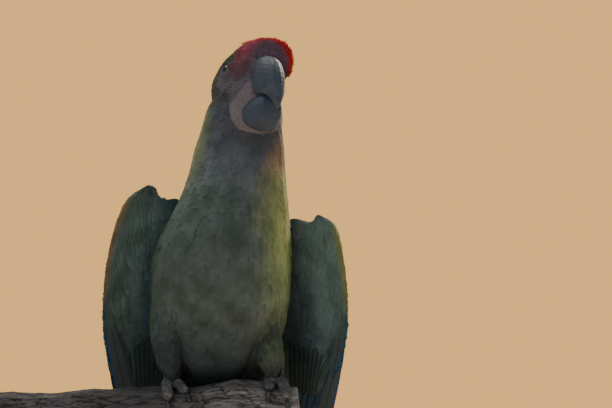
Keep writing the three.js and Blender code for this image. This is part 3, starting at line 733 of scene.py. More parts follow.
def noise(tree, vector, scale, detail=3.0, stretch=None):
    """Fractal noise along the given coordinates, drawn out by a stretch for each axis."""
    if stretch:
        vector = add_node(tree, "ShaderNodeMapping", None, Vector=vector, Scale=stretch).outputs["Vector"]
    made = add_node(tree, "ShaderNodeTexNoise", None, Vector=vector, Scale=scale, Detail=detail)
    return made.outputs["Fac"]


def stored(tree, name, output="Color"):
    """A colour or number that a piece's own mesh carries."""
    return add_node(tree, "ShaderNodeAttribute", {"attribute_name": name}).outputs[output]


def product(tree, first, second):
    """Two masks multiplied. The second may be a plain number."""
    made = add_node(tree, "ShaderNodeMath", {"operation": "MULTIPLY"})
    for socket, value in zip(made.inputs, (first, second)):
        if isinstance(value, bpy.types.NodeSocket):
            tree.links.new(value, socket)
        else:
            socket.default_value = value
    return made.outputs[0]


def object_place(tree):
    """The object coordinates of a material."""
    return tree.nodes.new("ShaderNodeTexCoord").outputs["Object"]


def bump(tree, shader, height, strength, distance):
    """Raises a height into the shader's normal."""
    made = add_node(tree, "ShaderNodeBump", None, Height=height, Strength=strength, Distance=distance)
    tree.links.new(made.outputs["Normal"], shader.inputs["Normal"])


def barb_group():
    """Fine slanted barbs on both sides of a feather's shaft, from its own Vane map."""
    if "Barbs" in bpy.data.node_groups:
        return bpy.data.node_groups["Barbs"]
    group = bpy.data.node_groups.new("Barbs", "ShaderNodeTree")
    for name, value in (("Count", 30.0), ("Slant", 0.35), ("Depth", 0.5)):
        socket = group.interface.new_socket(name, in_out="INPUT", socket_type="NodeSocketFloat")
        socket.default_value = value
    for name in ("Lines", "Shaft"):
        group.interface.new_socket(name, in_out="OUTPUT", socket_type="NodeSocketFloat")
    ends = group.nodes.new("NodeGroupInput"), group.nodes.new("NodeGroupOutput")
    place = add_node(group, "ShaderNodeUVMap", {"uv_map": "Vane"})
    split = add_node(group, "ShaderNodeSeparateXYZ", None, Vector=place.outputs["UV"])

    def calculate(operation, first, second=None):
        made = group.nodes.new("ShaderNodeMath")
        made.operation = operation
        for socket, value in zip(made.inputs, (first, second)):
            if isinstance(value, bpy.types.NodeSocket):
                group.links.new(value, socket)
            elif value is not None:
                socket.default_value = value
        return made.outputs[0]

    beside = calculate("ABSOLUTE", calculate("SUBTRACT", split.outputs["X"], 0.5))
    slant = calculate("MULTIPLY", beside, ends[0].outputs["Slant"])
    slanted = calculate("SUBTRACT", split.outputs["Y"], slant)
    turns = calculate("MULTIPLY", slanted, calculate("MULTIPLY", ends[0].outputs["Count"], math.tau))
    lines = calculate("ADD", calculate("MULTIPLY", calculate("SINE", turns), 0.5), 0.5)
    uneven = add_node(group, "ShaderNodeTexNoise", None, Vector=place.outputs["UV"], Scale=14.0, Detail=2.0)
    weighed = calculate("MULTIPLY", lines, uneven.outputs["Fac"])
    group.links.new(calculate("MULTIPLY", weighed, ends[0].outputs["Depth"]), ends[1].inputs["Lines"])
    shaft = calculate("SUBTRACT", 1.0, calculate("MULTIPLY", beside, 22.0))
    group.links.new(calculate("MAXIMUM", shaft, 0.0), ends[1].inputs["Shaft"])
    return group


def plumage_material(name="Small feathers"):
    """Soft small feathers that take their colour from the coat's own markings."""
    if name in bpy.data.materials:
        return bpy.data.materials[name]
    material, tree, shader = new_material(name, 0.75, 0.12, Sheen_Weight=0.03, Sheen_Roughness=0.4)
    marked = stored(tree, "plumage")
    patches = noise(tree, object_place(tree), 55.0, 2.0)
    varied = mix_colour(tree, ramp(tree, patches, 0.3, 0.75), marked, TONES["soft_patches"], "MULTIPLY")
    tree.links.new(varied, shader.inputs["Base Color"])
    return material


def vane_material(name, count):
    """Long feathers with a shaft and barbs that show."""
    if name in bpy.data.materials:
        return bpy.data.materials[name]
    material, tree, shader = new_material(name, 0.5, 0.3, Sheen_Weight=0.12)
    marked = stored(tree, "plumage")
    barbs = add_node(tree, "ShaderNodeGroup", {"node_tree": barb_group()}, Count=count, Slant=0.5, Depth=1.0)
    lined = mix_colour(tree, barbs.outputs["Lines"], marked, TONES["barb_gaps"], "MULTIPLY")
    shafted = mix_colour(tree, barbs.outputs["Shaft"], lined, TONES["shaft"])
    tree.links.new(shafted, shader.inputs["Base Color"])
    bump(tree, shader, barbs.outputs["Lines"], 0.25, 0.0004)
    return material


# ---------------------------------------------------------------- skin


def part_of(points, tree, labels):
    """The index in FLESH of the node that each place belongs to."""
    return np.array([labels[tree.find_nearest(p)[2]] for p in points.tolist()])


def flesh_tree():
    """The flesh nodes' triangles, each with its node's index in FLESH."""
    points, faces, labels = [], [], []
    for index, name in enumerate(FLESH):
        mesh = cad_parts[name].data
        corners = triangles_of(mesh)
        faces.append(corners + sum(map(len, points)))
        points.append(coordinates(mesh))
        labels += [index] * len(corners)
    return BVHTree.FromPolygons(np.vstack(points).tolist(), np.vstack(faces).tolist()), labels


def eye_axis(side):
    """The way an eye looks, in the head's frame."""
    return unit(np.array([0.16, side, 0.03]))


def around_eye(head, side):
    """Distance out along an eye's axis and away from it, for places in the head's frame."""
    away = head - (EYE["x"], side * EYE["y"], EYE["z"])
    out = away @ eye_axis(side)
    return out, np.sqrt(np.maximum((away ** 2).sum(1) - out ** 2, 0))


# How far the lids reach and stand over the eyeball, the height and width of their folds, and how deep the
# skin lies behind the eyeball's surface, in millimetres.
LIDS = {"reach": 11, "over": 0.75, "fold": 0.22, "fold_width": 1.7, "behind": 1.3}


def eyelids(head, side):
    """Raises the skin round an eye into lids, and sinks it behind the eyeball inside them."""
    out, beside = around_eye(head, side)
    near = (beside < LIDS["reach"]) & (out > 0)
    opening = EYE["opening"]
    ball = np.sqrt(np.maximum(EYE["radius"] ** 2 - beside ** 2, 0.5))
    lid = np.sqrt(EYE["radius"] ** 2 - opening ** 2) + LIDS["over"]
    waves = np.sin(2 * math.pi * (beside - opening) / LIDS["fold_width"])
    folds = LIDS["fold"] * waves * smooth(10, 6, beside)
    outside = out + (lid - out) * smooth(9.5, 5.2, beside) + folds * smooth(opening, 5.6, beside)
    inside = ball - LIDS["behind"]
    height = inside + (outside - inside) * smooth(opening - 0.35, opening + 0.25, beside)
    shift = np.where(near, height - out, 0)
    return head + shift[:, None] * eye_axis(side)


def finer_face(mesh):
    """Cuts the faces of the bare skin and the lids into smaller ones."""
    for reach in (1, 2):
        made = bmesh.new()
        made.from_mesh(mesh)
        made.faces.ensure_lookup_table()
        middles = np.array([face.calc_center_median() for face in made.faces])
        head = in_head(middles)
        wanted = (bare_share(head) > 0.02) & (np.abs(head).max(1) < 60)
        if reach == 2:
            beside = [around_eye(head, side) for side in (-1, 1)]
            wanted = np.any([(away < 10) & (out > 0) for out, away in beside], axis=0)
        edges = {edge for index in np.flatnonzero(wanted) for edge in made.faces[index].edges}
        bmesh.ops.subdivide_edges(made, edges=list(edges), cuts=1, use_grid_fill=True)
        made.to_mesh(mesh)
        made.free()


def skin_material():
    """Bare skin with fine folds, and the plumage's ground colour elsewhere."""
    material, tree, shader = new_material("Bird skin", 0.68, 0.18)
    marked = stored(tree, "plumage")
    place = object_place(tree)
    blotches = noise(tree, place, 260.0, 4.0)
    varied = mix_colour(tree, ramp(tree, blotches, 0.35, 0.75), marked, TONES["skin_blotches"], "MULTIPLY")
    tree.links.new(varied, shader.inputs["Base Color"])
    folds = add_node(tree, "ShaderNodeTexVoronoi", {"feature": "SMOOTH_F1"}, Vector=place, Scale=900.0)
    bump(tree, shader, folds.outputs["Distance"], 0.35, 0.0004)
    return material


SEARCH = 7  # how far from the skin the frame's flesh is looked for, in millimetres
HORN_WALL = 1.6  # how deep under the bill's surface the skin runs on, in millimetres


def restored(points, facing, tree, depth, share):
    """Places moved along their normals until the plumage's depth lies between them and the frame's flesh."""
    reach = SEARCH * MM
    moved = points.copy()
    outside = points + facing * reach
    for index, (start, way) in enumerate(zip(outside.tolist(), (-facing).tolist())):
        _, normal, _, gap = tree.ray_cast(start, way, 2 * reach)
        if gap is not None and normal.dot(way) < -0.25:
            moved[index] += facing[index] * share[index] * (reach - gap - depth[index])
    return moved


def bill_core(made):
    """Adds shrunken copies of the bill's halves to the flesh, so that the skin runs on under the horn."""
    for name in ("bill_upper", "bill_lower"):
        horn = merged_copy(name)
        horn.normal_update()
        for vert, spot in [(vert, vert.co - vert.normal * HORN_WALL * MM) for vert in horn.verts]:
            vert.co = spot
        mesh = bpy.data.meshes.new(name)
        horn.to_mesh(mesh)
        horn.free()
        made.from_mesh(mesh)
        bpy.data.meshes.remove(mesh)


def inside_bill(points):
    """Whether places lie within the bill's horn."""
    inside = np.zeros(len(points), bool)
    near = np.flatnonzero(np.abs(in_head(points) - (30, 0, -10)).max(1) < 60)
    for name in ("bill_upper", "bill_lower"):
        tree = BVHTree.FromBMesh(merged_copy(name))
        for index in near:
            spot, normal, _, _ = tree.find_nearest(points[index].tolist())
            inside[index] |= (Vector(points[index]) - spot).dot(normal) < -0.3 * MM
    return inside


def build_skin():
    """One skin over head, neck, trunk, legs and wings, inside them by the plumage's depth."""
    made = merged_copy(*FLESH)
    bill_core(made)
    for side in (-1, 1):
        place = from_head([[EYE["x"], side * EYE["y"], EYE["z"]]])[0]
        bmesh.ops.create_icosphere(
            made, subdivisions=3, radius=(EYE["radius"] + 0.4) * MM, matrix=Matrix.Translation(place)
        )
    skin = remeshed("skin", made, "skin")
    mesh = skin.data
    tree, labels = flesh_tree()
    for passes in (4, 3, 2):
        points = coordinates(mesh)
        facing = point_normals(mesh)
        part = part_of(points, tree, labels)
        depth = (coat_depth(points, part) + creases(in_bird(points), facing)) * MM
        on_head = part == FLESH.index("head")
        share = np.where(on_head, 1 - 0.75 * bare_share(in_head(points)), 1.0)
        share = np.where(inside_bill(points), 0, share)
        move_points(mesh, restored(points, facing, tree, depth, share))
        smoothed(mesh, passes)
    finer_face(mesh)
    head = in_head(coordinates(mesh))
    for side in (-1, 1):
        head = eyelids(head, side)
    bare = bare_share(head)
    wrinkles = 0.14 * np.sin(1.9 * head[:, 2] + 0.7 * head[:, 0]) * smooth(-2, -12, head[:, 2])
    push = (np.sign(head[:, 1]) * wrinkles * bare)[:, None] * (0, 1, 0)
    near_head = (np.abs(head).max(1) < 60)[:, None]
    points = np.where(near_head, from_head(head + push), coordinates(mesh))
    move_points(mesh, points)
    part = part_of(points, tree, labels)
    head = in_head(points)
    on_jaw = (bare_share(head) > 0.4) & (head[:, 2] > -40) & near_head[:, 0] & (part == FLESH.index("neck"))
    part[on_jaw] = FLESH.index("head")
    part[inside_bill(points)] = BILL_CORE
    layer = mesh.attributes.new("part", "INT", "POINT")
    layer.data.foreach_set("value", part.astype(np.int32))
    # Painted shade: the skin under the feathers is darker than the bare skin.
    shade = 0.75 + 0.25 * smooth(0.35, 0.7, bare_share(in_head(points)))[:, None]
    paint_points(mesh, "plumage", shade * marking(points, point_normals(mesh), part, with_skin=True))
    mesh.shade_smooth()
    return finished(skin, "plumage_green", skin_material(), *FLESH)


@functools.lru_cache(maxsize=1)
def skin_surface():
    """The finished skin, with the part that each of its triangles belongs to."""
    mesh = bpy.data.objects["skin"].data
    part = np.empty(len(mesh.vertices), np.int32)
    mesh.attributes["part"].data.foreach_get("value", part)
    return Surface(mesh, part)


# ---------------------------------------------------------------- feathers


@functools.lru_cache(maxsize=8)
def vane_template(columns, rows, plain_below=True):
    """A thin closed vane: across from -1 to 1, along from 0 to 1, side 1 above, -1 below and 0 at the rim."""
    made = bmesh.new()
    bmesh.ops.create_grid(made, x_segments=columns, y_segments=rows, size=1)
    corners = {}
    for vert in made.verts:
        if len(vert.link_edges) == 2:
            beside = [edge.other_vert(vert) for edge in vert.link_edges]
            corners[vert] = min(beside, key=lambda other: abs(other.co.y - vert.co.y))
    bmesh.ops.weld_verts(made, targetmap=corners)
    for vert in made.verts:
        vert.co.z = 0 if vert.is_boundary else 1
    copy = bmesh.ops.duplicate(made, geom=made.faces[:])["geom"]
    below = [item for item in copy if isinstance(item, bmesh.types.BMVert)]
    bmesh.ops.reverse_faces(made, faces=[item for item in copy if isinstance(item, bmesh.types.BMFace)])
    if plain_below:
        bmesh.ops.dissolve_verts(made, verts=[vert for vert in below if vert.co.z > 0])
    else:
        for vert in below:
            vert.co.z *= -1
    bmesh.ops.remove_doubles(made, verts=made.verts, dist=1e-4)
    bmesh.ops.triangulate(made, faces=made.faces)
    made.verts.index_update()
    spots = np.array([vert.co[:] for vert in made.verts])
    faces = np.array([[vert.index for vert in face.verts] for face in made.faces])
    made.free()
    return spots[:, 0], (spots[:, 1] + 1) / 2, spots[:, 2], faces


SMALL_OUTLINE = ((0, 0.5), (0.25, 0.88), (0.5, 1.0), (0.75, 0.96), (1, 0.98))
CREST_OUTLINE = ((0, 0.6), (0.35, 1.0), (0.7, 0.75), (1, 0.12))
LONG_OUTLINE = ((0, 0.3), (0.05, 0.55), (0.2, 0.86), (0.5, 1.0), (0.8, 0.96), (0.93, 0.74), (1, 0.42))
COVERT_OUTLINE = ((0, 0.5), (0.2, 0.86), (0.5, 1.0), (0.8, 0.98), (0.9, 0.88), (1, 0.55))


def shaped_vanes(template, outline, places, ways, facings, width, lift, thick, droop, ragged, rng):
    """Points of many vanes that follow their spines, as feathers by points by x, y, z."""
    across, along, side, _ = template
    count = len(places)
    tip = along > 0.999
    last_row = 1 - along[~tip].max()
    rounding = np.where(tip, min(0.14, 0.8 * last_row) * across ** 2, 0)
    jag = ragged * rng.uniform(-1, 1, (count, len(along))) * smooth(0.6, 1.0, along)
    share = np.clip(along - rounding + jag * 0.5, 0, 1)
    last = places.shape[1] - 1
    steps = np.clip(share * last, 0, last - 1e-4)
    low = steps.astype(int)
    part = (steps - low)[..., None]
    rows = np.arange(count)[:, None]

    def between(values):
        return values[rows, low] * (1 - part) + values[rows, low + 1] * part

    spine, way, facing = between(places), unit(between(ways)), unit(between(facings))
    beside = np.cross(way, facing)
    spread = np.interp(along, *zip(*outline)) * across
    half = 0.5 * width[:, None] * spread
    rise = lift[:, None] * share ** 1.15
    swell = 0.5 * thick * side * smooth(1.02, 0.6, along)
    height = rise + swell - droop * width[:, None] * spread ** 2
    return spine + beside * half[..., None] + facing * height[..., None]


def vane_mesh(name, template, points, colours, patches, sizes):
    """Many vanes as one mesh, with a patch of the OFBake map for each and the Vane map along each."""
    across, along, _, faces = template
    count, each, _ = points.shape
    mesh = bpy.data.meshes.new(name)
    total = count * len(faces)
    corners = (faces[None] + (np.arange(count) * each)[:, None, None]).reshape(total, 3)
    mesh.vertices.add(count * each)
    mesh.vertices.foreach_set("co", points.astype(np.float32).ravel())
    mesh.loops.add(total * 3)
    mesh.loops.foreach_set("vertex_index", corners.astype(np.int32).ravel())
    mesh.polygons.add(total)
    mesh.polygons.foreach_set("loop_start", np.arange(0, total * 3, 3, dtype=np.int32))
    mesh.update(calc_edges=True)
    mesh.shade_smooth()
    mesh.set_sharp_from_angle(angle=math.radians(70))
    paint_points(mesh, "plumage", colours.reshape(-1, 3))
    local = np.stack([across / 2, 0.5 - along], -1)
    for key, at, size in (("OFBake", patches, sizes), ("Vane", np.full((count, 2), 0.5), (1.0, -1.0))):
        spots = at[:, None] + local[None] * size
        layer = mesh.uv_layers.new(name=key)
        layer.uv.foreach_set("vector", spots.reshape(-1, 2)[corners.ravel()].astype(np.float32).ravel())
    mesh.uv_layers.active = mesh.uv_layers["OFBake"]
    return new_object(name, mesh)


TRIES = 6  # places drawn for each feather that there is room for
CLOSEST = 0.86  # distance between neighbours, as a share of the gap


def scattered(surface, wanted, spacing, rng):
    """Even random places on the triangles of a surface, closer where feathers are smaller."""
    corners = surface.points[surface.corners]
    middle = corners.mean(1)
    keep = wanted(middle, surface.labels)
    chosen = np.flatnonzero(keep)
    corners, middle, label = corners[chosen], middle[chosen], surface.labels[chosen]
    facing = surface.facing[chosen]
    gap = feather_gap(middle, label) * MM * spacing
    edge_1, edge_2 = corners[:, 1] - corners[:, 0], corners[:, 2] - corners[:, 0]
    weight = 0.5 * np.linalg.norm(np.cross(edge_1, edge_2), axis=1) / gap ** 2
    count = int(weight.sum() * TRIES)
    pick = rng.choice(len(weight), count, p=weight / weight.sum())
    first, second = rng.random((2, count, 1))
    flip = first + second > 1
    first, second = np.where(flip, 1 - first, first), np.where(flip, 1 - second, second)
    spots = corners[pick, 0] + edge_1[pick] * first + edge_2[pick] * second
    tree = KDTree(count)
    for index, spot in enumerate(spots.tolist()):
        tree.insert(spot, index)
    tree.balance()
    free = np.ones(count, bool)
    taken = []
    for index in range(count):
        if free[index]:
            taken.append(index)
            for _, other, _ in tree.find_range(spots[index].tolist(), gap[pick[index]] * CLOSEST):
                free[other] = False
    return spots[taken], facing[pick[taken]], label[pick[taken]], gap[pick[taken]]


def followed(surface, roots, facing, part, lengths, steps, turn):
    """Spines that run from their roots along the lie of the coat, and fly free where the skin turns away."""
    place, normal = roots, facing
    places, ways, normals = [place], [], [normal]
    spin = turn[:, None]
    way = lie(place, normal, part)
    way = unit(way * np.cos(spin) + np.cross(normal, way) * np.sin(spin))
    ways.append(way)
    for _ in range(steps):
        ahead = place + way * (lengths / steps)[:, None]
        near, near_normal = surface.nearest(ahead)
        turned = (near_normal * facing).sum(1)
        gone = np.linalg.norm(near - ahead, axis=1) > 0.45 * lengths / steps
        free = ((turned < 0.45) | gone)[:, None]
        next_way = lie(near, near_normal, part)
        next_way = unit(next_way * np.cos(spin) + np.cross(near_normal, next_way) * np.sin(spin))
        place = np.where(free, ahead, near)
        normal = np.where(free, normal, near_normal)
        way = np.where(free, way, unit(way + next_way))
        places.append(place)
        ways.append(way)
        normals.append(normal)
    return np.stack(places, 1), np.stack(ways, 1), np.stack(normals, 1)


def even_patches(spots):
    """Roots on an unwrap, stretched to fill it."""
    low, high = spots.min(0), spots.max(0)
    return 0.02 + 0.96 * (spots - low) / np.maximum(high - low, 1e-9)


def unwrapped(name, places, facing):
    """Places of the skin laid flat: round the axis of head, neck or trunk, or along each side of a wing."""
    if name.startswith("coat_wing"):
        wing = WINGS[name.rsplit("_", 1)[1]]
        share, across, outwards = wing_shares(wing, in_bird(places))
        above = (facing * outwards).sum(1) > 0
        return np.stack([np.clip(across, -0.2, 1.2) + 1.6 * above, -share], -1)
    if COATS[name]["parts"] == ("head",):
        x, y, z = (in_head(places) - (0, 0, -4)).T
        return np.stack([np.arctan2(y, z), x - 0.4 * z * (name == "coat_crest")], -1)
    x, y, z = in_bird(places).T
    return np.stack([np.arctan2(x - 4, np.interp(z, BODY_HEIGHTS, BODY_AXIS) - y), z], -1)


# Spacing scales the gap between feathers. Stretch and slim are their length and width in gaps, lift and thick
# are in millimetres, droop is a share of the width, shape counts columns and rows, stray is in radians.
SMALL_FEATHERS = {"spacing": 1.0, "stretch": 3.2, "slim": 1.75, "lift": 0.7, "thick": 0.22, "droop": 0.08,
                  "shape": (4, 4), "outline": SMALL_OUTLINE, "stray": 0.1}
WING_FEATHERS = {**SMALL_FEATHERS, "stretch": 3.4, "slim": 1.8, "lift": 0.55, "droop": 0.06, "stray": 0.06}
COATS = {
    "coat_crest": {**SMALL_FEATHERS, "parts": ("head",), "spacing": 0.62, "stretch": 5.0, "slim": 0.95,
                   "lift": 3.0, "thick": 0.2, "droop": 0.12, "shape": (2, 3), "outline": CREST_OUTLINE,
                   "stray": 0.3, "seed": 11},
    "coat_head": {**SMALL_FEATHERS, "parts": ("head",), "stretch": 3.1, "slim": 1.7, "lift": 0.75,
                  "thick": 0.2, "seed": 12},
    "coat_neck": {**SMALL_FEATHERS, "parts": ("neck",), "lift": 0.6, "thick": 0.2, "seed": 13},
    "coat_trunk": {**SMALL_FEATHERS, "parts": ("trunk",), "seed": 14},
    "coat_legs": {**SMALL_FEATHERS, "parts": ("leg_left", "leg_right"), "slim": 1.7, "lift": 0.8,
                  "stray": 0.14, "seed": 15},
    "coat_wing_left": {**WING_FEATHERS, "parts": ("wing_left",), "seed": 16},
    "coat_wing_right": {**WING_FEATHERS, "parts": ("wing_right",), "seed": 17},
    "coat_lores": {**SMALL_FEATHERS, "parts": ("head",), "spacing": 0.5, "stretch": 2.6, "slim": 1.1,
                   "lift": 0.35, "thick": 0.15, "shape": (2, 3), "outline": CREST_OUTLINE, "stray": 0.25,
                   "seed": 18},
}
PATCH = 0.003  # width of a small feather's place on the OFBake map
RAGGED = 0.05  # how uneven a small feather's tip is, as a share of its length


def below_rows(name, places, facing):
    """Whether places lie on the lower end of a wing's upper side, where rows of larger coverts take over."""
    wing = WINGS[name.rsplit("_", 1)[1]]
    share, across, outwards = wing_shares(wing, in_bird(places))
    above = (facing * outwards).sum(1) > 0
    return (share > 0.6) & (across > 0.08) & above


def build_coat(name):
    """One region's small feathers, as one mesh."""
    kind = COATS[name]
    rng = np.random.default_rng(kind["seed"])
    surface = skin_surface()
    members = [FLESH.index(part) for part in kind["parts"]]

    def wanted(middle, label):
        head = in_head(middle)
        keep = np.isin(label, members)
        bare = (bare_share(head) > 0.45) & (label == FLESH.index("head"))
        if name == "coat_lores":
            return keep & bare & (lores_share(head) ** 1.5 > rng.random(len(middle)))
        if name in ("coat_crest", "coat_head"):
            keep &= (crest_share(head) > 0.5) == (name == "coat_crest")
        if name.startswith("coat_wing"):
            keep &= ~below_rows(name, middle, surface.facing)
        if name == "coat_legs":
            keep &= (surface.facing[:, 2] > -0.4) | (in_bird(middle)[:, 2] > 24)
        return keep & ~bare

    roots, facing, part, gap = scattered(surface, wanted, kind["spacing"], rng)
    count = len(roots)
    z = in_bird(roots)[:, 2]
    length = gap * kind["stretch"] * rng.uniform(0.85, 1.12, count)
    if name in ("coat_legs", "coat_trunk"):
        length = length * (1 + 0.8 * smooth(36, 12, z) * smooth(-25, -5, z) * (facing[:, 1] < 0.3))
    rim = rim_share(roots, part)
    length = length * (1 - 0.35 * rim)
    turn = rng.normal(0, kind["stray"], count) * (1 - rim)
    spines = followed(surface, roots, facing, part, length, 4, turn)
    if name.startswith("coat_wing"):
        ends = spines[0][:, -1]
        kept = np.linalg.norm(surface.nearest(ends)[0] - ends, axis=1) < 2.5 * MM
        spines = [rows[kept] for rows in spines]
        roots, facing, part, gap, rim = (rows[kept] for rows in (roots, facing, part, gap, rim))
        count = len(roots)
    template = vane_template(*kind["shape"])
    loose = bpy.context.scene.macaw_coat.looseness
    width = gap * kind["slim"] * rng.uniform(0.88, 1.1, count) * (1 - 0.4 * rim)
    lift = kind["lift"] * MM * loose * rng.uniform(0.7, 1.2, count) * (1 - 0.8 * rim)
    points = shaped_vanes(template, kind["outline"], *spines, width, lift, kind["thick"] * MM, kind["droop"],
                          RAGGED, rng)
    ground = marking(roots, facing, part, with_skin=name == "coat_lores")
    if name == "coat_lores":
        red = np.array(bpy.context.scene.macaw_colours.forehead)
        ground = mixed(ground, red, 0.3 * smooth(4, 22, in_head(roots)[:, 2]))
    tone = rng.normal(1.0, 0.04, (count, 1))
    along = template[1]
    if name == "coat_crest":
        # Painted shade: the crest's feathers are dark at their roots, in the forehead's shade colour.
        deep = np.array(bpy.context.scene.macaw_colours.forehead_root)
        colours = deep + (ground[:, None] - deep) * smooth(0.05, 0.7, along)[None, :, None]
    else:
        colours = ground[:, None] * (0.88 + 0.14 * along)[None, :, None]
    colours = np.clip(colours * tone[:, None], 0, 1)
    patches = even_patches(unwrapped(name, roots, facing))
    made = vane_mesh(name, template, points, colours, patches, (PATCH, PATCH))
    return finished(made, "plumage_green", plumage_material())


# Rows of the face's tiny feathers, in the head's frame: number, ends, how much shorter each next row is at
# both ends, step, height of the first row, distance and slope of the rows, and the feathers' own measures.
CHEEK = {"rows": 5, "rear": -5.0, "front": 11.0, "shorter": 0.9, "step": 0.62, "top": -8.5, "apart": 2.7,
         "slope": 0.3, "length": 1.5, "width": 0.5, "lift": 0.2, "thick": 0.14, "seed": 21}


def build_cheek_lines():
    """Rows of tiny dark feathers over the bare face, rising towards the bill."""
    rng = np.random.default_rng(CHEEK["seed"])
    surface = skin_surface()
    line = bpy.context.scene.macaw_colours.cheek_line
    seeds = []
    for side in (-1, 1):
        for row in range(CHEEK["rows"]):
            inset = CHEEK["shorter"] * row
            for x in np.arange(CHEEK["rear"] + inset, CHEEK["front"] - inset, CHEEK["step"]):
                z = CHEEK["top"] - CHEEK["apart"] * row + CHEEK["slope"] * (x - 2) + 0.5 * math.sin(0.4 * x)
                seeds.append((x + rng.normal(0, 0.12), side * 30, z + rng.normal(0, 0.14)))
    seeds = np.array(seeds)
    starts = from_head(seeds)
    inwards = np.where(seeds[:, 1:2] > 0, -1, 1) * HEAD_AXES[:, 1]
    hits = [surface.tree.ray_cast(p, n) for p, n in zip(starts.tolist(), inwards.tolist())]
    kept = [i for i, hit in enumerate(hits) if hit[0] is not None]
    roots = np.array([hits[i][0] for i in kept])
    facing = np.array([surface.facing[hits[i][2]] for i in kept])
    part = np.full(len(roots), FLESH.index("head"))
    count = len(roots)
    length = np.full(count, CHEEK["length"] * MM) * rng.uniform(0.8, 1.2, count)
    spines = followed(surface, roots, facing, part, length, 3, rng.normal(0, 0.3, count))
    template = vane_template(2, 3)
    width, lift = (np.full(count, CHEEK[key] * MM) for key in ("width", "lift"))
    points = shaped_vanes(template, CREST_OUTLINE, *spines, width, lift, CHEEK["thick"] * MM, 0.1, 0.03, rng)
    colours = np.broadcast_to(np.array(line), points.shape) * rng.normal(1, 0.12, (count, 1, 1))
    head = in_head(roots)
    patches = even_patches(np.stack([head[:, 0] + 45 * (head[:, 1] > 0), head[:, 2]], -1))
    made = vane_mesh("cheek_lines", template, points, np.clip(colours, 0, 1), patches, (PATCH, PATCH))
    return finished(made, "plumage_green", plumage_material())


LONG_SEED, LONG_THICK = 31, 0.7  # random seed and thickness in millimetres of the long feathers


def long_vanes(name, roots, tips, out, width, bow, paint_at, slot, *nodes, twist=0.0, shape=(6, 20),
               outline=LONG_OUTLINE, material=None):
    """Long feathers from root to tip, upper sides facing out, each with its own strip of the OFBake map."""
    rng = np.random.default_rng(LONG_SEED)
    count = len(roots)
    roots, tips = from_bird(roots), from_bird(tips)
    shares = np.linspace(0, 1, 13)
    spine = tips - roots
    beside = unit(np.cross(spine, out))
    face = unit(np.cross(beside, spine))
    face = unit(face + beside * twist)
    arch = bow * MM * np.sin(math.pi * shares)
    places = roots[:, None] + spine[:, None] * shares[None, :, None] + face[:, None] * arch[None, :, None]
    slope = bow * MM * math.pi * np.cos(math.pi * shares)
    ways = unit(spine[:, None] + face[:, None] * slope[None, :, None])
    facings = unit(face[:, None] - ways * (face[:, None] * ways).sum(-1, keepdims=True))
    template = vane_template(*shape, False)
    points = shaped_vanes(template, outline, places, ways, facings, np.asarray(width) * MM,
                          np.zeros(count), LONG_THICK * MM, 0.035, 0.012, rng)
    colours = paint_at(template, count)
    tone = rng.normal(1, 0.05, (count, 1, 1))
    columns = math.ceil(math.sqrt(count * 0.5))
    rows = math.ceil(count / columns)
    cell = np.stack([np.arange(count) % columns, np.arange(count) // columns], -1)
    patches = (cell + 0.5) / (columns, rows)
    strip = (0.9 / columns, -0.9 / rows)
    made = vane_mesh(name, template, points, np.clip(colours * tone, 0, 1), patches, strip)
    return finished(made, slot, material or vane_material("Long feathers", 60.0), *nodes)


def flight_colours(side, name="flight", below="flight_under", web=0.75, painted_shade=0.0):
    """A function that paints a wing's long feathers: bright outer web above, dark inner web, plain below.
    Its last argument is the painted shade: how much darker the innermost feathers are, near the body. The
    outermost are darker by four fifths of it, also as painted shade."""
    paint = bpy.context.scene.macaw_colours

    def paint_at(template, count):
        across, along, face, _ = template
        above = np.tile(np.array(getattr(paint, name)), (len(along), 1))
        above = mixed(above, TONES["inner_web"], web * smooth(-0.1, 0.5, -across * side))
        under = np.tile(np.array(getattr(paint, below)), (len(along), 1))
        under = mixed(under, np.array(paint.flight), 0.12 * smooth(0.7, 1.0, across * side) * (web > 0))
        one = mixed(under, above, face >= 0)
        if not web:
            # Painted shade: the coverts are darker towards their edges, where they overlap, and grow a little
            # lighter towards their tips.
            shade = 0.5 * smooth(0.55, 1.0, np.abs(across)) - 0.15 * smooth(0.3, 1.0, along)
            one = one * (1 - shade)[:, None]
        order = np.linspace(0, 1, count)
        # Painted shade: the innermost feathers are darker near the body, and the outermost a little darker
        # too.
        tone = 1 - painted_shade * np.maximum(smooth(0.1, 0.6, order), 0.8 * smooth(0.2, 0.0, order))
        return one[None] * tone[:, None, None]

    return paint_at


def tail_colours(template, count):
    """Red brown above with blue ends, olive below."""
    paint = bpy.context.scene.macaw_colours
    across, along, side, _ = template
    above = np.tile(np.array(paint.tail), (len(along), 1))
    above = mixed(above, np.array(paint.tail_tip), smooth(0.7, 0.92, along + 0.1 * np.abs(across)))
    below = np.tile(np.array(paint.tail_under), (len(along), 1))
    one = mixed(below, above, side >= 0)
    return np.broadcast_to(one[None], (count, *one.shape))


def wing_row(wing, count, root, tip):
    """Roots and tips of a row of feathers. Root and tip give share, across and lift at the row's two ends."""
    inner = np.linspace(0, 1, count)
    ends = []
    for low, high in (root, tip):
        share, across, lift = (a + (b - a) * inner for a, b in zip(low, high))
        ends.append(np.array([wing_point(wing, *each) for each in zip(share, across, lift)]))
    return ends


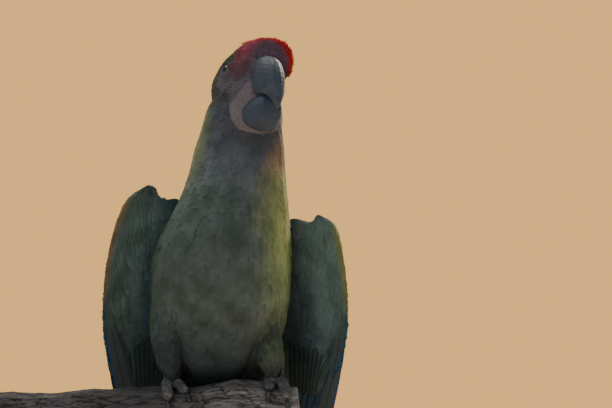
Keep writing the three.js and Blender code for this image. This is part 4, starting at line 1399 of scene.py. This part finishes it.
# Rows of larger coverts: how many, share, across and lift of the first and last root and tip, width, colours.
COVERT_ROWS = {
    "under_coverts": (12, ((0.5, 0.2, -1), (0.46, 0.8, 0)), ((0.78, 0.28, -4), (0.68, 0.83, -3)), 18,
                      "flight_under", "under_wing"),
    "greater_coverts": (11, ((0.34, 0.18, 2), (0.2, 0.93, 4)), ((0.6, 0.22, 6), (0.44, 0.98, 7)), 19,
                        "wing_blue", "flight_under"),
    "primary_coverts": (7, ((0.42, 0.14, -1), (0.38, 0.34, 0)), ((0.7, 0.16, 2), (0.62, 0.44, 5)), 13,
                        "wing_blue", "flight_under"),
    "median_coverts": (12, ((0.2, 0.16, 0), (0.1, 0.93, 3)), ((0.42, 0.18, 5), (0.31, 0.98, 7)), 17,
                       "covert", "under_wing"),
}
FLIGHT_COUNT = 9  # primaries or secondaries that show on one wing


def build_flight(name):
    """The long feathers of one wing's hand and arm, and the rows of coverts over their roots."""
    wing = WINGS[name]
    side = wing["side"]
    inner = np.linspace(0, 1, FLIGHT_COUNT)
    roots, _ = wing_row(wing, FLIGHT_COUNT, ((0.38, 0.08, 0), (0.42, 0.55, 1.5)), ((0.6, 0, 0), (0.6, 0, 0)))
    # Both rows of tips run from the outermost feather to the innermost, in the bird's own millimetres.
    tips = np.stack([side * (38 + 12 * inner), 96 + 4 * inner, -183 + 120 * inner ** 0.9], -1)
    long_vanes(f"primaries_{name}", roots, tips, wing_frame(wing, 0.6)[2], 25 + 2 * inner, 10,
               flight_colours(side), "plumage_flight", f"wing_{name}_primaries", twist=0.06 * side)
    roots, _ = wing_row(wing, FLIGHT_COUNT, ((0.4, 0.32, 1), (0.3, 0.9, 2)), ((0.6, 0, 0), (0.6, 0, 0)))
    tips_x = 80 - 44 * inner - 8 * smooth(0.8, 1.0, inner)
    tips = np.stack([side * tips_x, 58 + 40 * inner, -34 - 10 * inner], -1)
    long_vanes(f"secondaries_{name}", roots, tips, wing_frame(wing, 0.5)[2], 27 + 0 * inner, 8,
               flight_colours(side), "plumage_flight", f"wing_{name}_secondaries", twist=0.12 * side)
    for row, (count, root, tip, width, above, below) in COVERT_ROWS.items():
        roots, tips = wing_row(wing, count, root, tip)
        # Under coverts get painted shade at both ends of their row.
        bow, narrowest, painted_shade = (-2.5, 0.55, 0.5) if row.startswith("under") else (2.5, 1.0, 0.0)
        widths = width * np.interp(np.linspace(0, 1, count), [0, 0.35], [narrowest, 1])
        long_vanes(f"{row}_{name}", roots, tips, wing_frame(wing, 0.5)[2], widths, bow,
                   flight_colours(side, above, below, 0.0, painted_shade), "plumage_flight", twist=0.05 * side,
                   shape=(6, 10), outline=COVERT_OUTLINE, material=plumage_material())


def build_tail():
    """Six pairs of tail feathers, the middle pair longest and on top."""
    way = np.array([0, math.sin(TAIL["lean"]), -math.cos(TAIL["lean"])])
    back = np.array([0, math.cos(TAIL["lean"]), math.sin(TAIL["lean"])])
    roots, tips, outs, widths = [], [], [], []
    for pair in range(TAIL["pairs"]):
        outer = pair / (TAIL["pairs"] - 1)
        for side in (-1, 1):
            beside = side * (TAIL["root_near"] + TAIL["root_spread"] * outer)
            tip_beside = side * (TAIL["tip_near"] + TAIL["tip_spread"] * outer)
            root = np.array([TAIL["x"] + beside, TAIL["y"], TAIL["z"]])
            root = root + back * (7 - 13 * outer)
            length = TAIL["length"] * (1 + (TAIL["shortest"] - 1) * outer ** 0.85)
            roots.append(root)
            tips.append(root + way * length + back * (-2 + 3 * outer) + (tip_beside, 0, 0))
            outs.append(back + (side * 0.3 * outer, 0, 0))
            widths.append(TAIL["width"] - TAIL["narrower"] * outer)
    rows = (np.array(values) for values in (roots, tips, outs, widths))
    long_vanes("tail_feathers", *rows, 3, tail_colours, "plumage_tail", "tail")


# ---------------------------------------------------------------- eyes, bill and feet


def eye_material():
    """An olive iris round a black pupil, under a wet cornea."""
    if "Eye" in bpy.data.materials:
        return bpy.data.materials["Eye"]
    material, tree, shader = new_material("Eye", 0.2, 0.4, Coat_Weight=0.5, Coat_Roughness=0.05)
    beside = stored(tree, "beside", "Fac")
    speckle = noise(tree, object_place(tree), 900.0, 3.0)
    iris = bpy.context.scene.macaw_colours.iris
    eye = mix_colour(tree, ramp(tree, speckle, 0.35, 0.7), iris, TONES["iris_flecks"])
    for tone, low, high in (
        ("iris_inside", EYE["pupil"] + 1.1, EYE["pupil"]),
        ("iris_rim", EYE["iris"] - 0.7, EYE["iris"]),
        ("pupil", EYE["pupil"], EYE["pupil"] - 0.15),
    ):
        eye = mix_colour(tree, ramp(tree, beside, low, high), eye, TONES[tone])
    tree.links.new(eye, shader.inputs["Base Color"])
    return material


def build_eye(name):
    """An eyeball with a slightly bulging cornea."""
    side = 1 if name == "left" else -1
    made = bmesh.new()
    bmesh.ops.create_uvsphere(made, u_segments=40, v_segments=28, radius=EYE["radius"])
    for vert in made.verts:
        beside = math.hypot(vert.co.x, vert.co.y)
        if vert.co.z > 0:
            vert.co.z += EYE["bulge"] * max(0.0, 1 - (beside / EYE["cornea"]) ** 2)
    axis = Vector(eye_axis(side))
    turn = axis.to_track_quat("Z", "Y").to_matrix().to_4x4()
    bmesh.ops.transform(made, matrix=turn, verts=made.verts)
    bmesh.ops.translate(made, verts=made.verts, vec=(EYE["x"], side * EYE["y"], EYE["z"]))
    bmesh.ops.transform(made, matrix=Matrix(HEAD_TO_PART.tolist()), verts=made.verts)
    eye = mesh_of(f"eyeball_{name}", made)
    _, beside = around_eye(in_head(coordinates(eye.data)), side)
    store_values(eye.data, "beside", beside)
    return finished(eye, "eye", eye_material(), f"eye_{name}")


def horn_material(name, worn_low, worn_high, along, tint):
    """Dark horn with fine growth lines, scuffed towards one end and tinted with one of the fixed tones."""
    material, tree, shader = new_material(name, 0.58, 0.32)
    paint = bpy.context.scene.macaw_colours
    place = stored(tree, "head_place", "Vector")
    split = add_node(tree, "ShaderNodeSeparateXYZ", None, Vector=place)
    cloud = noise(tree, place, 0.12, 4.0)
    lines = noise(tree, place, 0.55, 5.0, along)
    flakes = noise(tree, place, 0.9, 6.0)
    paler_patch = product(tree, ramp(tree, split.outputs["Z"], worn_low, worn_high), ramp(tree, cloud, 0.4, 0.62))
    base = mix_colour(tree, ramp(tree, lines, 0.35, 0.72), paint.horn, TONES["horn_lines"])
    scuffed = mix_colour(tree, paler_patch, base, paint.horn_worn)
    specked = mix_colour(tree, ramp(tree, flakes, 0.64, 0.78), scuffed, TONES["horn_flakes"])
    tinted = mix_colour(tree, 1.0, specked, TONES[tint], "MULTIPLY")
    tree.links.new(tinted, shader.inputs["Base Color"])
    bump(tree, shader, lines, 0.2, 0.0005)
    return material


def store_head_place(mesh):
    """Keeps each point's place in the head's own frame for the bill's pattern."""
    layer = mesh.attributes.new("head_place", "FLOAT_VECTOR", "POINT")
    layer.data.foreach_set("vector", in_head(coordinates(mesh)).astype(np.float32).ravel())


FURROW = {"depth": 0.08, "beside": 8.5, "width": 2.2}  # along both sides of the upper bill, in millimetres
SWELL = {"upper": 2.0, "lower": 1.2, "chin": 1.4}  # how far the bill's flanks and chin are pushed out again
CORNER_DROP = 3.2  # how far the corner of the cutting edge is lowered


def build_bill():
    """Upper and lower bill, with growth furrows, fine scales and the cutting edge's lowered corner."""
    upper = remeshed("bill_upper_horn", merged_copy("bill_upper"), "bill")
    head = in_head(coordinates(upper.data))
    x, y, z = head.T
    facing = point_normals(upper.data) @ HEAD_AXES
    from_furrow = np.abs(np.abs(y) - FURROW["beside"]) / FURROW["width"]
    furrow = FURROW["depth"] * smooth(0.9, 0.3, from_furrow) * smooth(-26, -10, z)
    scale = 0.05 * np.sin(1.5 * z + 0.5 * x) * smooth(-36, -24, z)
    flank = SWELL["upper"] * smooth(0.2, 0.8, -facing[:, 1]) * smooth(-26, -12, z) * smooth(20, 10, z)
    push = scale - furrow + flank
    corner = CORNER_DROP * smooth(-9, -17, z) * smooth(-31, -22, z) * smooth(42, 30, x)
    move_points(upper.data, from_head(head + facing * push[:, None] - corner[:, None] * (0, 0, 1)))
    store_head_place(upper.data)
    horn = horn_material("Upper bill horn", -2, -26, (2.4, 2.4, 0.35), "upper_horn")
    finished(upper, "horn", horn, "bill_upper")
    lower = remeshed("bill_lower_horn", merged_copy("bill_lower"), "bill")
    head = in_head(coordinates(lower.data))
    facing = point_normals(lower.data) @ HEAD_AXES
    x, _, z = head.T
    flank = SWELL["lower"] * smooth(0.3, 0.8, np.abs(facing[:, 1]))
    push = 0.05 * np.sin(1.3 * x - 0.9 * z) + SWELL["chin"] * smooth(-36, -50, z) + flank
    move_points(lower.data, from_head(head + facing * push[:, None]))
    store_head_place(lower.data)
    horn = horn_material("Lower bill horn", -44, -70, (0.5, 2.0, 1.6), "lower_horn")
    finished(lower, "horn", horn, "bill_lower")


def scale_material():
    """Dry grey scales of the toes with dark gaps and pale dust."""
    if "Foot scales" in bpy.data.materials:
        return bpy.data.materials["Foot scales"]
    material, tree, shader = new_material("Foot scales", 0.62, 0.3)
    place = object_place(tree)
    cells = add_node(tree, "ShaderNodeTexVoronoi", {"feature": "F1"}, Vector=place, Scale=560.0)
    dust = noise(tree, place, 240.0, 4.0)
    gaps = ramp(tree, cells.outputs["Distance"], 0.3, 0.85)
    plate = mix_colour(tree, gaps, bpy.context.scene.macaw_colours.foot, TONES["scale_gaps"])
    dusty = mix_colour(tree, ramp(tree, dust, 0.5, 0.75), plate, TONES["foot_dust"])
    tree.links.new(dusty, shader.inputs["Base Color"])
    bump(tree, shader, cells.outputs["Distance"], 0.6, -0.0005)
    return material


PUSHED_BACK = 0.3  # what smoothing takes off a toe or claw, in millimetres
RING_HEIGHT = 0.16  # height of the scales' rings across the toes


def build_foot(name):
    """A foot's scaly skin."""
    foot = remeshed(f"foot_skin_{name}", merged_copy(f"foot_{name}"), "foot")
    points = coordinates(foot.data)
    facing = point_normals(foot.data)
    rings = np.sin(points[:, 1] / MM * 2.1) * smooth(-0.2, 0.6, facing[:, 2])
    move_points(foot.data, points + facing * (MM * (PUSHED_BACK + RING_HEIGHT * rings))[:, None])
    return finished(foot, "foot_skin", scale_material(), f"foot_{name}")


def claw_material():
    """Blackish claw horn with paler streaks."""
    if "Claw horn" in bpy.data.materials:
        return bpy.data.materials["Claw horn"]
    material, tree, shader = new_material("Claw horn", 0.35, 0.5)
    streaks = noise(tree, object_place(tree), 320.0, 4.0, (1.0, 0.3, 1.0))
    colour = mix_colour(tree, ramp(tree, streaks, 0.35, 0.7), TONES["claw"], TONES["claw_streaks"])
    tree.links.new(colour, shader.inputs["Base Color"])
    bump(tree, shader, streaks, 0.2, 0.0003)
    return material


CLAW_ROOT = 3 * MM  # how far a claw runs on inside its toe


def build_claws():
    """Every claw as a smooth horn of its own, its root set into the toe."""
    made = []
    for node in sorted(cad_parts):
        if node.startswith("claw_"):
            horn = merged_copy(node)
            foot = BVHTree.FromBMesh(merged_copy(f"foot_{node.split('_')[1]}"))
            root = [vert for vert in horn.verts if foot.find_nearest(vert.co)[3] < 0.4 * MM]
            middle = sum((vert.co for vert in horn.verts), Vector()) / len(horn.verts)
            inwards = (sum((vert.co for vert in root), Vector()) / len(root) - middle).normalized()
            bmesh.ops.translate(horn, verts=root, vec=inwards * CLAW_ROOT)
            claw = remeshed(f"{node}_horn", horn, "claw")
            move_points(claw.data, coordinates(claw.data) + PUSHED_BACK * MM * point_normals(claw.data))
            made.append(finished(claw, "horn", claw_material(), node))
    return made


# ---------------------------------------------------------------- perch and stand


def bark_material():
    """Grey rough bark with dark cracks, darker towards the left end, and pale wood at the torn ends and as a
    patch of painted light on the top.
    """
    material, tree, shader = new_material("Bark", 0.9, 0.15)
    paint = bpy.context.scene.macaw_colours
    place = object_place(tree)
    depth, torn_and_lit = stored(tree, "bark_depth", "Fac"), stored(tree, "torn_and_lit", "Fac")
    grain = noise(tree, place, 160.0, 8.0, (0.35, 1.0, 1.0))
    lichen = noise(tree, place, 38.0, 4.0)
    cracked = mix_colour(tree, ramp(tree, depth, -1.3, 0.1), paint.bark_deep, paint.bark)
    grained = mix_colour(tree, ramp(tree, grain, 0.3, 0.75), cracked, TONES["bark_grain"], "MULTIPLY")
    spots = product(tree, ramp(tree, lichen, 0.5, 0.8), 0.5)
    dusty = mix_colour(tree, spots, grained, TONES["lichen"])
    across = add_node(tree, "ShaderNodeSeparateXYZ", None, Vector=place).outputs["X"]
    # Darker towards the log's left end.
    darker_left = mix_colour(tree, ramp(tree, across, -0.02, -0.09), dusty, TONES["darker_left_bark"], "MULTIPLY")
    wood = mix_colour(tree, ramp(tree, grain, 0.3, 0.7), paint.bare_wood, TONES["wood_grain"])
    # Pale wood on the torn ends, and as painted light on the log's top.
    both = mix_colour(tree, torn_and_lit, darker_left, wood)
    tree.links.new(both, shader.inputs["Base Color"])
    bump(tree, shader, grain, 0.7, 0.0012)
    return material


def wavy(points, scale, seed):
    """Smooth repeatable unevenness from a few crossing waves."""
    rng = np.random.default_rng(seed)
    total = np.zeros(len(points))
    for octave in range(5):
        for _ in range(5):
            way = rng.normal(size=3) * scale * 1.9 ** octave
            total += np.sin(points @ way + rng.uniform(0, math.tau)) / 1.7 ** octave
    return total / 5


def bark_plates(points, along, spacing, seed):
    """Height of uneven plates of bark, long along the log, with narrow cracks between them."""
    rng = np.random.default_rng(seed)
    bent = np.stack([wavy(points, 0.09, seed + k) for k in range(3)], -1)
    places = points * (along, 1, 1) + 2.2 * bent
    count = int(len(points) * 1.7 ** 2 * along / spacing ** 2)
    tree = KDTree(count)
    for index, spot in enumerate(rng.choice(len(points), count, replace=False)):
        tree.insert(places[spot].tolist(), index)
    tree.balance()
    height = rng.uniform(-0.4, 0.4, count)
    found = [tree.find_n(place, 2) for place in places.tolist()]
    near = np.array([pair[0][1] for pair in found])
    crack = np.array([pair[1][2] - pair[0][2] for pair in found])
    return height[near] * smooth(0.4, 2.4, crack) - 1.1 * smooth(0.9, 0.1, crack)


LOG_SEED = 41
PLATES = {"along": 0.17, "width": 5.5}  # bark plates: how far drawn out, and their width in millimetres
BARK_SPAN = (-2.2, 1.1)  # lowest and highest bark against the log's surface, in millimetres
SPLINTER, END_SUNK = 2.6, 4.2  # depth of the torn ends, and of the dip at the left end, in millimetres
FEET_X, FOOT_REACH = (44, -48), 9  # where the toes lie on the bark, along the log, in millimetres


def build_log():
    """The cut length of log: ridged bark, and a torn paler end at the right."""
    log = remeshed("log_bark", merged_copy("perch_log"), "log")
    points = coordinates(log.data)
    facing = point_normals(log.data)
    bird = in_bird(points)
    x, y, z = bird.T
    plates = bark_plates(bird, PLATES["along"], PLATES["width"], LOG_SEED)
    fine = wavy(bird * (0.4, 1, 1), 0.8, LOG_SEED + 1)
    ends = smooth(0.6, 0.9, np.abs(facing[:, 0]))
    right = smooth(50, 62, x + 5 * wavy(np.stack([y, z, 0 * x], -1), 0.15, LOG_SEED + 2))
    top = smooth(0, 0.6, facing[:, 2])
    sunk = END_SUNK * smooth(-78, -112, x) * top
    depth = np.clip(plates + 0.45 * fine, *BARK_SPAN) * (1 - ends)
    splinter = -SPLINTER * np.abs(wavy(np.stack([0 * x, y, z], -1), 0.5, LOG_SEED + 3)) * ends
    under_foot = np.any([np.abs(x - foot) < FOOT_REACH for foot in FEET_X], axis=0) & (facing[:, 2] > 0.2)
    depth = np.where(under_foot, np.minimum(depth, -0.1), depth)
    move_points(log.data, points + facing * ((depth + splinter - sunk) * MM)[:, None])
    store_values(log.data, "bark_depth", depth)
    # Painted light: paler bark on the log's top from its middle rightwards, lifting the bird's shadow there.
    paler_patch = 0.6 * smooth(-30, 10, x) * top * smooth(-1.0, 0.4, depth)
    store_values(log.data, "torn_and_lit", np.maximum(np.maximum(ends, right), paler_patch))
    return finished(log, "bark", bark_material(), "perch_log")


def board_material():
    """Dark varnished wood with long grain."""
    material, tree, shader = new_material(
        "Varnished board", 0.35, 0.45, Coat_Weight=0.35, Coat_Roughness=0.22
    )
    paint = bpy.context.scene.macaw_colours
    place = object_place(tree)
    grain = noise(tree, place, 26.0, 8.0, (0.08, 1.0, 1.0))
    pores = noise(tree, place, 420.0, 4.0, (0.05, 1.0, 1.0))
    wood = mix_colour(tree, ramp(tree, grain, 0.3, 0.7), paint.board, TONES["board_grain"])
    pored = mix_colour(tree, ramp(tree, pores, 0.55, 0.7), wood, TONES["board_pores"])
    tree.links.new(pored, shader.inputs["Base Color"])
    bump(tree, shader, pores, 0.1, -0.0003)
    return material


def steel_material():
    """Brushed steel, with fine lines round the rods."""
    material, tree, shader = new_material("Brushed rods", 0.3, 0.5, Metallic=1.0)
    place = object_place(tree)
    brushing = noise(tree, place, 900.0, 3.0, (1.0, 1.0, 0.02))
    colour = mix_colour(tree, brushing, TONES["steel_dark"], TONES["steel_light"])
    tree.links.new(colour, shader.inputs["Base Color"])
    rough = add_node(tree, "ShaderNodeMapRange", None, Value=brushing, To_Min=0.22, To_Max=0.42)
    tree.links.new(rough.outputs["Result"], shader.inputs["Roughness"])
    return material


EASED = 2.4  # width of the board's eased edges, in millimetres
COLLAR_PLAY, COLLAR_RISE = 0.15, 0.1  # gaps round the rod and over the board, in millimetres
# A collar's outline from its rod outwards and from the board up, in millimetres.
COLLAR = ((0, 0), (9, 0), (9, 1.6), (8.2, 2.4), (3.4, 2.8), (2, 4.2), (1.8, 8.2), (1, 9), (0, 9))


def build_stand():
    """The base with eased edges, its two steel rods, and a turned collar at the foot of each."""
    base = merged_copy("stand_base")
    bmesh.ops.dissolve_limit(
        base, angle_limit=math.radians(1), verts=base.verts, edges=base.edges, use_dissolve_boundaries=False
    )
    rims = [edge for edge in base.edges if abs(edge.calc_face_angle(0)) > math.radians(60)]
    bmesh.ops.bevel(base, geom=rims, offset=EASED * MM, offset_type="OFFSET", affect="EDGES", segments=3,
                    profile=0.5, material=-1)
    board = mesh_of("stand_board", base)
    board.data.set_sharp_from_angle(angle=math.radians(35))
    finished(board, "board", board_material(), "stand_base")
    steel = steel_material()
    collars = bmesh.new()
    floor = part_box("stand_base")[1].z + COLLAR_RISE * MM
    for rod in ("stand_rod_1", "stand_rod_2"):
        low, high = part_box(rod)
        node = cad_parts[rod]
        node.data.materials.clear()
        node.data.materials.append(steel)
        middle = (low + high) / 2
        radius = (high.x - low.x) / 2
        inner = radius + COLLAR_PLAY * MM
        outline = [(middle.x + (inner + out * MM), middle.y, floor + up * MM) for out, up in COLLAR]
        spots = [collars.verts.new(spot) for spot in outline]
        edges = [collars.edges.new(pair) for pair in zip(spots, spots[1:] + spots[:1])]
        bmesh.ops.spin(
            collars, geom=spots + edges, cent=(middle.x, middle.y, 0), axis=(0, 0, 1), dvec=(0, 0, 0),
            angle=math.tau, steps=40, use_merge=True, use_duplicate=False,
        )
    bmesh.ops.remove_doubles(collars, verts=collars.verts, dist=0.01 * MM)
    bmesh.ops.recalc_face_normals(collars, faces=collars.faces)
    made = mesh_of("stand_collars", collars)
    made.data.set_sharp_from_angle(angle=math.radians(35))
    finished(made, "steel", steel)


# ---------------------------------------------------------------- stage

CAMERA = {"x": 0.072, "y": -4.0, "z": 0.553, "frame_width": 0.5508, "sensor": 36}
LAMP_AIM = (0, 0, 0.5)
BACKDROP = {"Color": (1.0, 0.543, 0.166, 1), "Strength": 1.13}  # what the camera sees
SKYLIGHT = {"Color": (0.86, 0.93, 1.0, 1), "Strength": 0.3}  # what lights the bird
# Place, width, power in watts and colour of each lamp.
LIGHTS = {
    "back_light": ((1.5, 2.4, 2.0), 1.4, 120, (1.0, 0.9, 0.76)),
    "top_light": ((-0.6, 0.8, 3.0), 2.0, 60, (1.0, 0.95, 0.88)),
    "front_fill": ((-1.2, -3.6, 1.3), 2.6, 30, (0.86, 0.92, 1.0)),
}


def build_stage():
    """A plain pale floor, soft lights and the camera."""
    made = bmesh.new()
    bmesh.ops.create_circle(made, cap_ends=True, segments=96, radius=7.0)
    floor = mesh_of("stage_floor", made)
    material, tree, shader = new_material("Pale floor", 0.85, 0.2)
    tone = noise(tree, object_place(tree), 1.5, 2.0)
    colour = mix_colour(tree, ramp(tree, tone, 0.3, 0.7), TONES["floor_dark"], TONES["floor_light"])
    tree.links.new(colour, shader.inputs["Base Color"])
    floor.data.materials.append(material)

    world = bpy.data.worlds.new("Studio")
    bpy.context.scene.world = world
    world.use_nodes = True
    tree = world.node_tree
    seen, lit = tree.nodes["Background"], tree.nodes.new("ShaderNodeBackground")
    for background, values in ((seen, BACKDROP), (lit, SKYLIGHT)):
        for socket, value in values.items():
            background.inputs[socket].default_value = value
    choice = tree.nodes.new("ShaderNodeMixShader")
    tree.links.new(tree.nodes.new("ShaderNodeLightPath").outputs["Is Camera Ray"], choice.inputs["Fac"])
    tree.links.new(lit.outputs[0], choice.inputs[1])
    tree.links.new(seen.outputs[0], choice.inputs[2])
    tree.links.new(choice.outputs[0], tree.nodes["World Output"].inputs["Surface"])

    for name, (place, size, power, colour) in LIGHTS.items():
        lamp = bpy.data.lights.new(name, "AREA")
        lamp.shape = "DISK"
        lamp.size = size
        lamp.energy = power
        lamp.color = colour
        light = bpy.data.objects.new(name, lamp)
        light.location = place
        aim = Vector(LAMP_AIM) - Vector(place)
        light.rotation_euler = aim.to_track_quat("-Z", "Y").to_euler()
        bpy.context.scene.collection.objects.link(light)

    camera = bpy.data.cameras.new("Camera")
    camera.sensor_width = CAMERA["sensor"]
    camera.lens = CAMERA["sensor"] * -CAMERA["y"] / CAMERA["frame_width"]
    camera.clip_end = 100
    holder = bpy.data.objects.new("Camera", camera)
    holder.location = (CAMERA["x"], CAMERA["y"], CAMERA["z"])
    holder.rotation_euler = (math.radians(90), 0, 0)
    bpy.context.scene.collection.objects.link(holder)
    bpy.context.scene.camera = holder


# ---------------------------------------------------------------- add-on


class MacawColours(bpy.types.PropertyGroup):
    """Colours of the plumage, skin, horn and stand."""

    __annotations__ = {
        key: FloatVectorProperty(name=label, description=words, subtype="COLOR", size=3, min=0, max=1,
                                 default=linear(code))
        for key, (label, words, code) in COLOURS.items()
    }


class MacawCoat(bpy.types.PropertyGroup):
    """Size and looseness of the small feathers."""

    body_gap: FloatProperty(
        name="Body gap", description="From feather to feather on the breast and belly",
        default=0.0056, min=0.003, max=0.02, unit="LENGTH", precision=4,
    )
    head_gap: FloatProperty(
        name="Head gap", description="From feather to feather on the cheeks and crown",
        default=0.0021, min=0.001, max=0.01, unit="LENGTH", precision=4,
    )
    wing_gap: FloatProperty(
        name="Wing gap", description="From feather to feather in the middle of a wing",
        default=0.0062, min=0.003, max=0.02, unit="LENGTH", precision=4,
    )
    looseness: FloatProperty(
        name="Looseness", description="How far the feather tips stand off the skin",
        default=1.0, min=0.2, max=2.0, subtype="FACTOR",
    )


class MACAW_OT_stage(bpy.types.Operator):
    """Lay the floor and set the lights and the camera"""

    bl_idname = "macaw.stage"
    bl_label = "Stage"

    def execute(self, context):
        build_stage()
        return {"FINISHED"}


class MACAW_OT_skin(bpy.types.Operator):
    """Cover head, neck, trunk, legs and wings with one skin"""

    bl_idname = "macaw.skin"
    bl_label = "Skin"

    def execute(self, context):
        build_skin()
        return {"FINISHED"}


class MACAW_OT_coat(bpy.types.Operator):
    """Grow the small feathers of every region"""

    bl_idname = "macaw.coat"
    bl_label = "Small feathers"

    def execute(self, context):
        for name in COATS:
            build_coat(name)
        build_cheek_lines()
        return {"FINISHED"}


class MACAW_OT_long_feathers(bpy.types.Operator):
    """Set the long feathers of the wings and the tail"""

    bl_idname = "macaw.long_feathers"
    bl_label = "Long feathers"

    def execute(self, context):
        for name in WINGS:
            build_flight(name)
        build_tail()
        return {"FINISHED"}


class MACAW_OT_eyes(bpy.types.Operator):
    """Set both eyes"""

    bl_idname = "macaw.eyes"
    bl_label = "Eyes"

    def execute(self, context):
        build_eye("left")
        build_eye("right")
        return {"FINISHED"}


class MACAW_OT_bill(bpy.types.Operator):
    """Shape the upper and lower bill"""

    bl_idname = "macaw.bill"
    bl_label = "Bill"

    def execute(self, context):
        build_bill()
        return {"FINISHED"}


class MACAW_OT_feet(bpy.types.Operator):
    """Shape the feet and their claws"""

    bl_idname = "macaw.feet"
    bl_label = "Feet and claws"

    def execute(self, context):
        build_foot("left")
        build_foot("right")
        build_claws()
        return {"FINISHED"}


class MACAW_OT_perch(bpy.types.Operator):
    """Shape the log and its stand"""

    bl_idname = "macaw.perch"
    bl_label = "Perch and stand"

    def execute(self, context):
        build_log()
        build_stand()
        return {"FINISHED"}


OPERATORS = (
    MACAW_OT_stage, MACAW_OT_skin, MACAW_OT_eyes, MACAW_OT_bill, MACAW_OT_feet, MACAW_OT_perch, MACAW_OT_coat,
    MACAW_OT_long_feathers,
)


class MACAW_PT_panel(bpy.types.Panel):
    """List the macaw's builders with their sizes and colours"""

    bl_label = "Macaw"
    bl_space_type = "VIEW_3D"
    bl_region_type = "UI"
    bl_category = "Macaw"

    def draw(self, context):
        layout = self.layout
        for operator in OPERATORS:
            layout.operator(operator.bl_idname)
        for settings in (context.scene.macaw_coat, context.scene.macaw_colours):
            for key in settings.__annotations__:
                layout.prop(settings, key)


CLASSES = (MacawColours, MacawCoat, *OPERATORS, MACAW_PT_panel)


def register():
    """Adds the classes and their settings."""
    for each in CLASSES:
        bpy.utils.register_class(each)
    bpy.types.Scene.macaw_colours = PointerProperty(type=MacawColours)
    bpy.types.Scene.macaw_coat = PointerProperty(type=MacawCoat)


def unregister():
    """Takes them away again."""
    del bpy.types.Scene.macaw_coat
    del bpy.types.Scene.macaw_colours
    for each in reversed(CLASSES):
        bpy.utils.unregister_class(each)


def main():
    """Builds the whole macaw."""
    register()
    for operator in OPERATORS:
        group, name = operator.bl_idname.split(".")
        getattr(getattr(bpy.ops, group), name)()


if __name__ == "__main__":
    main()
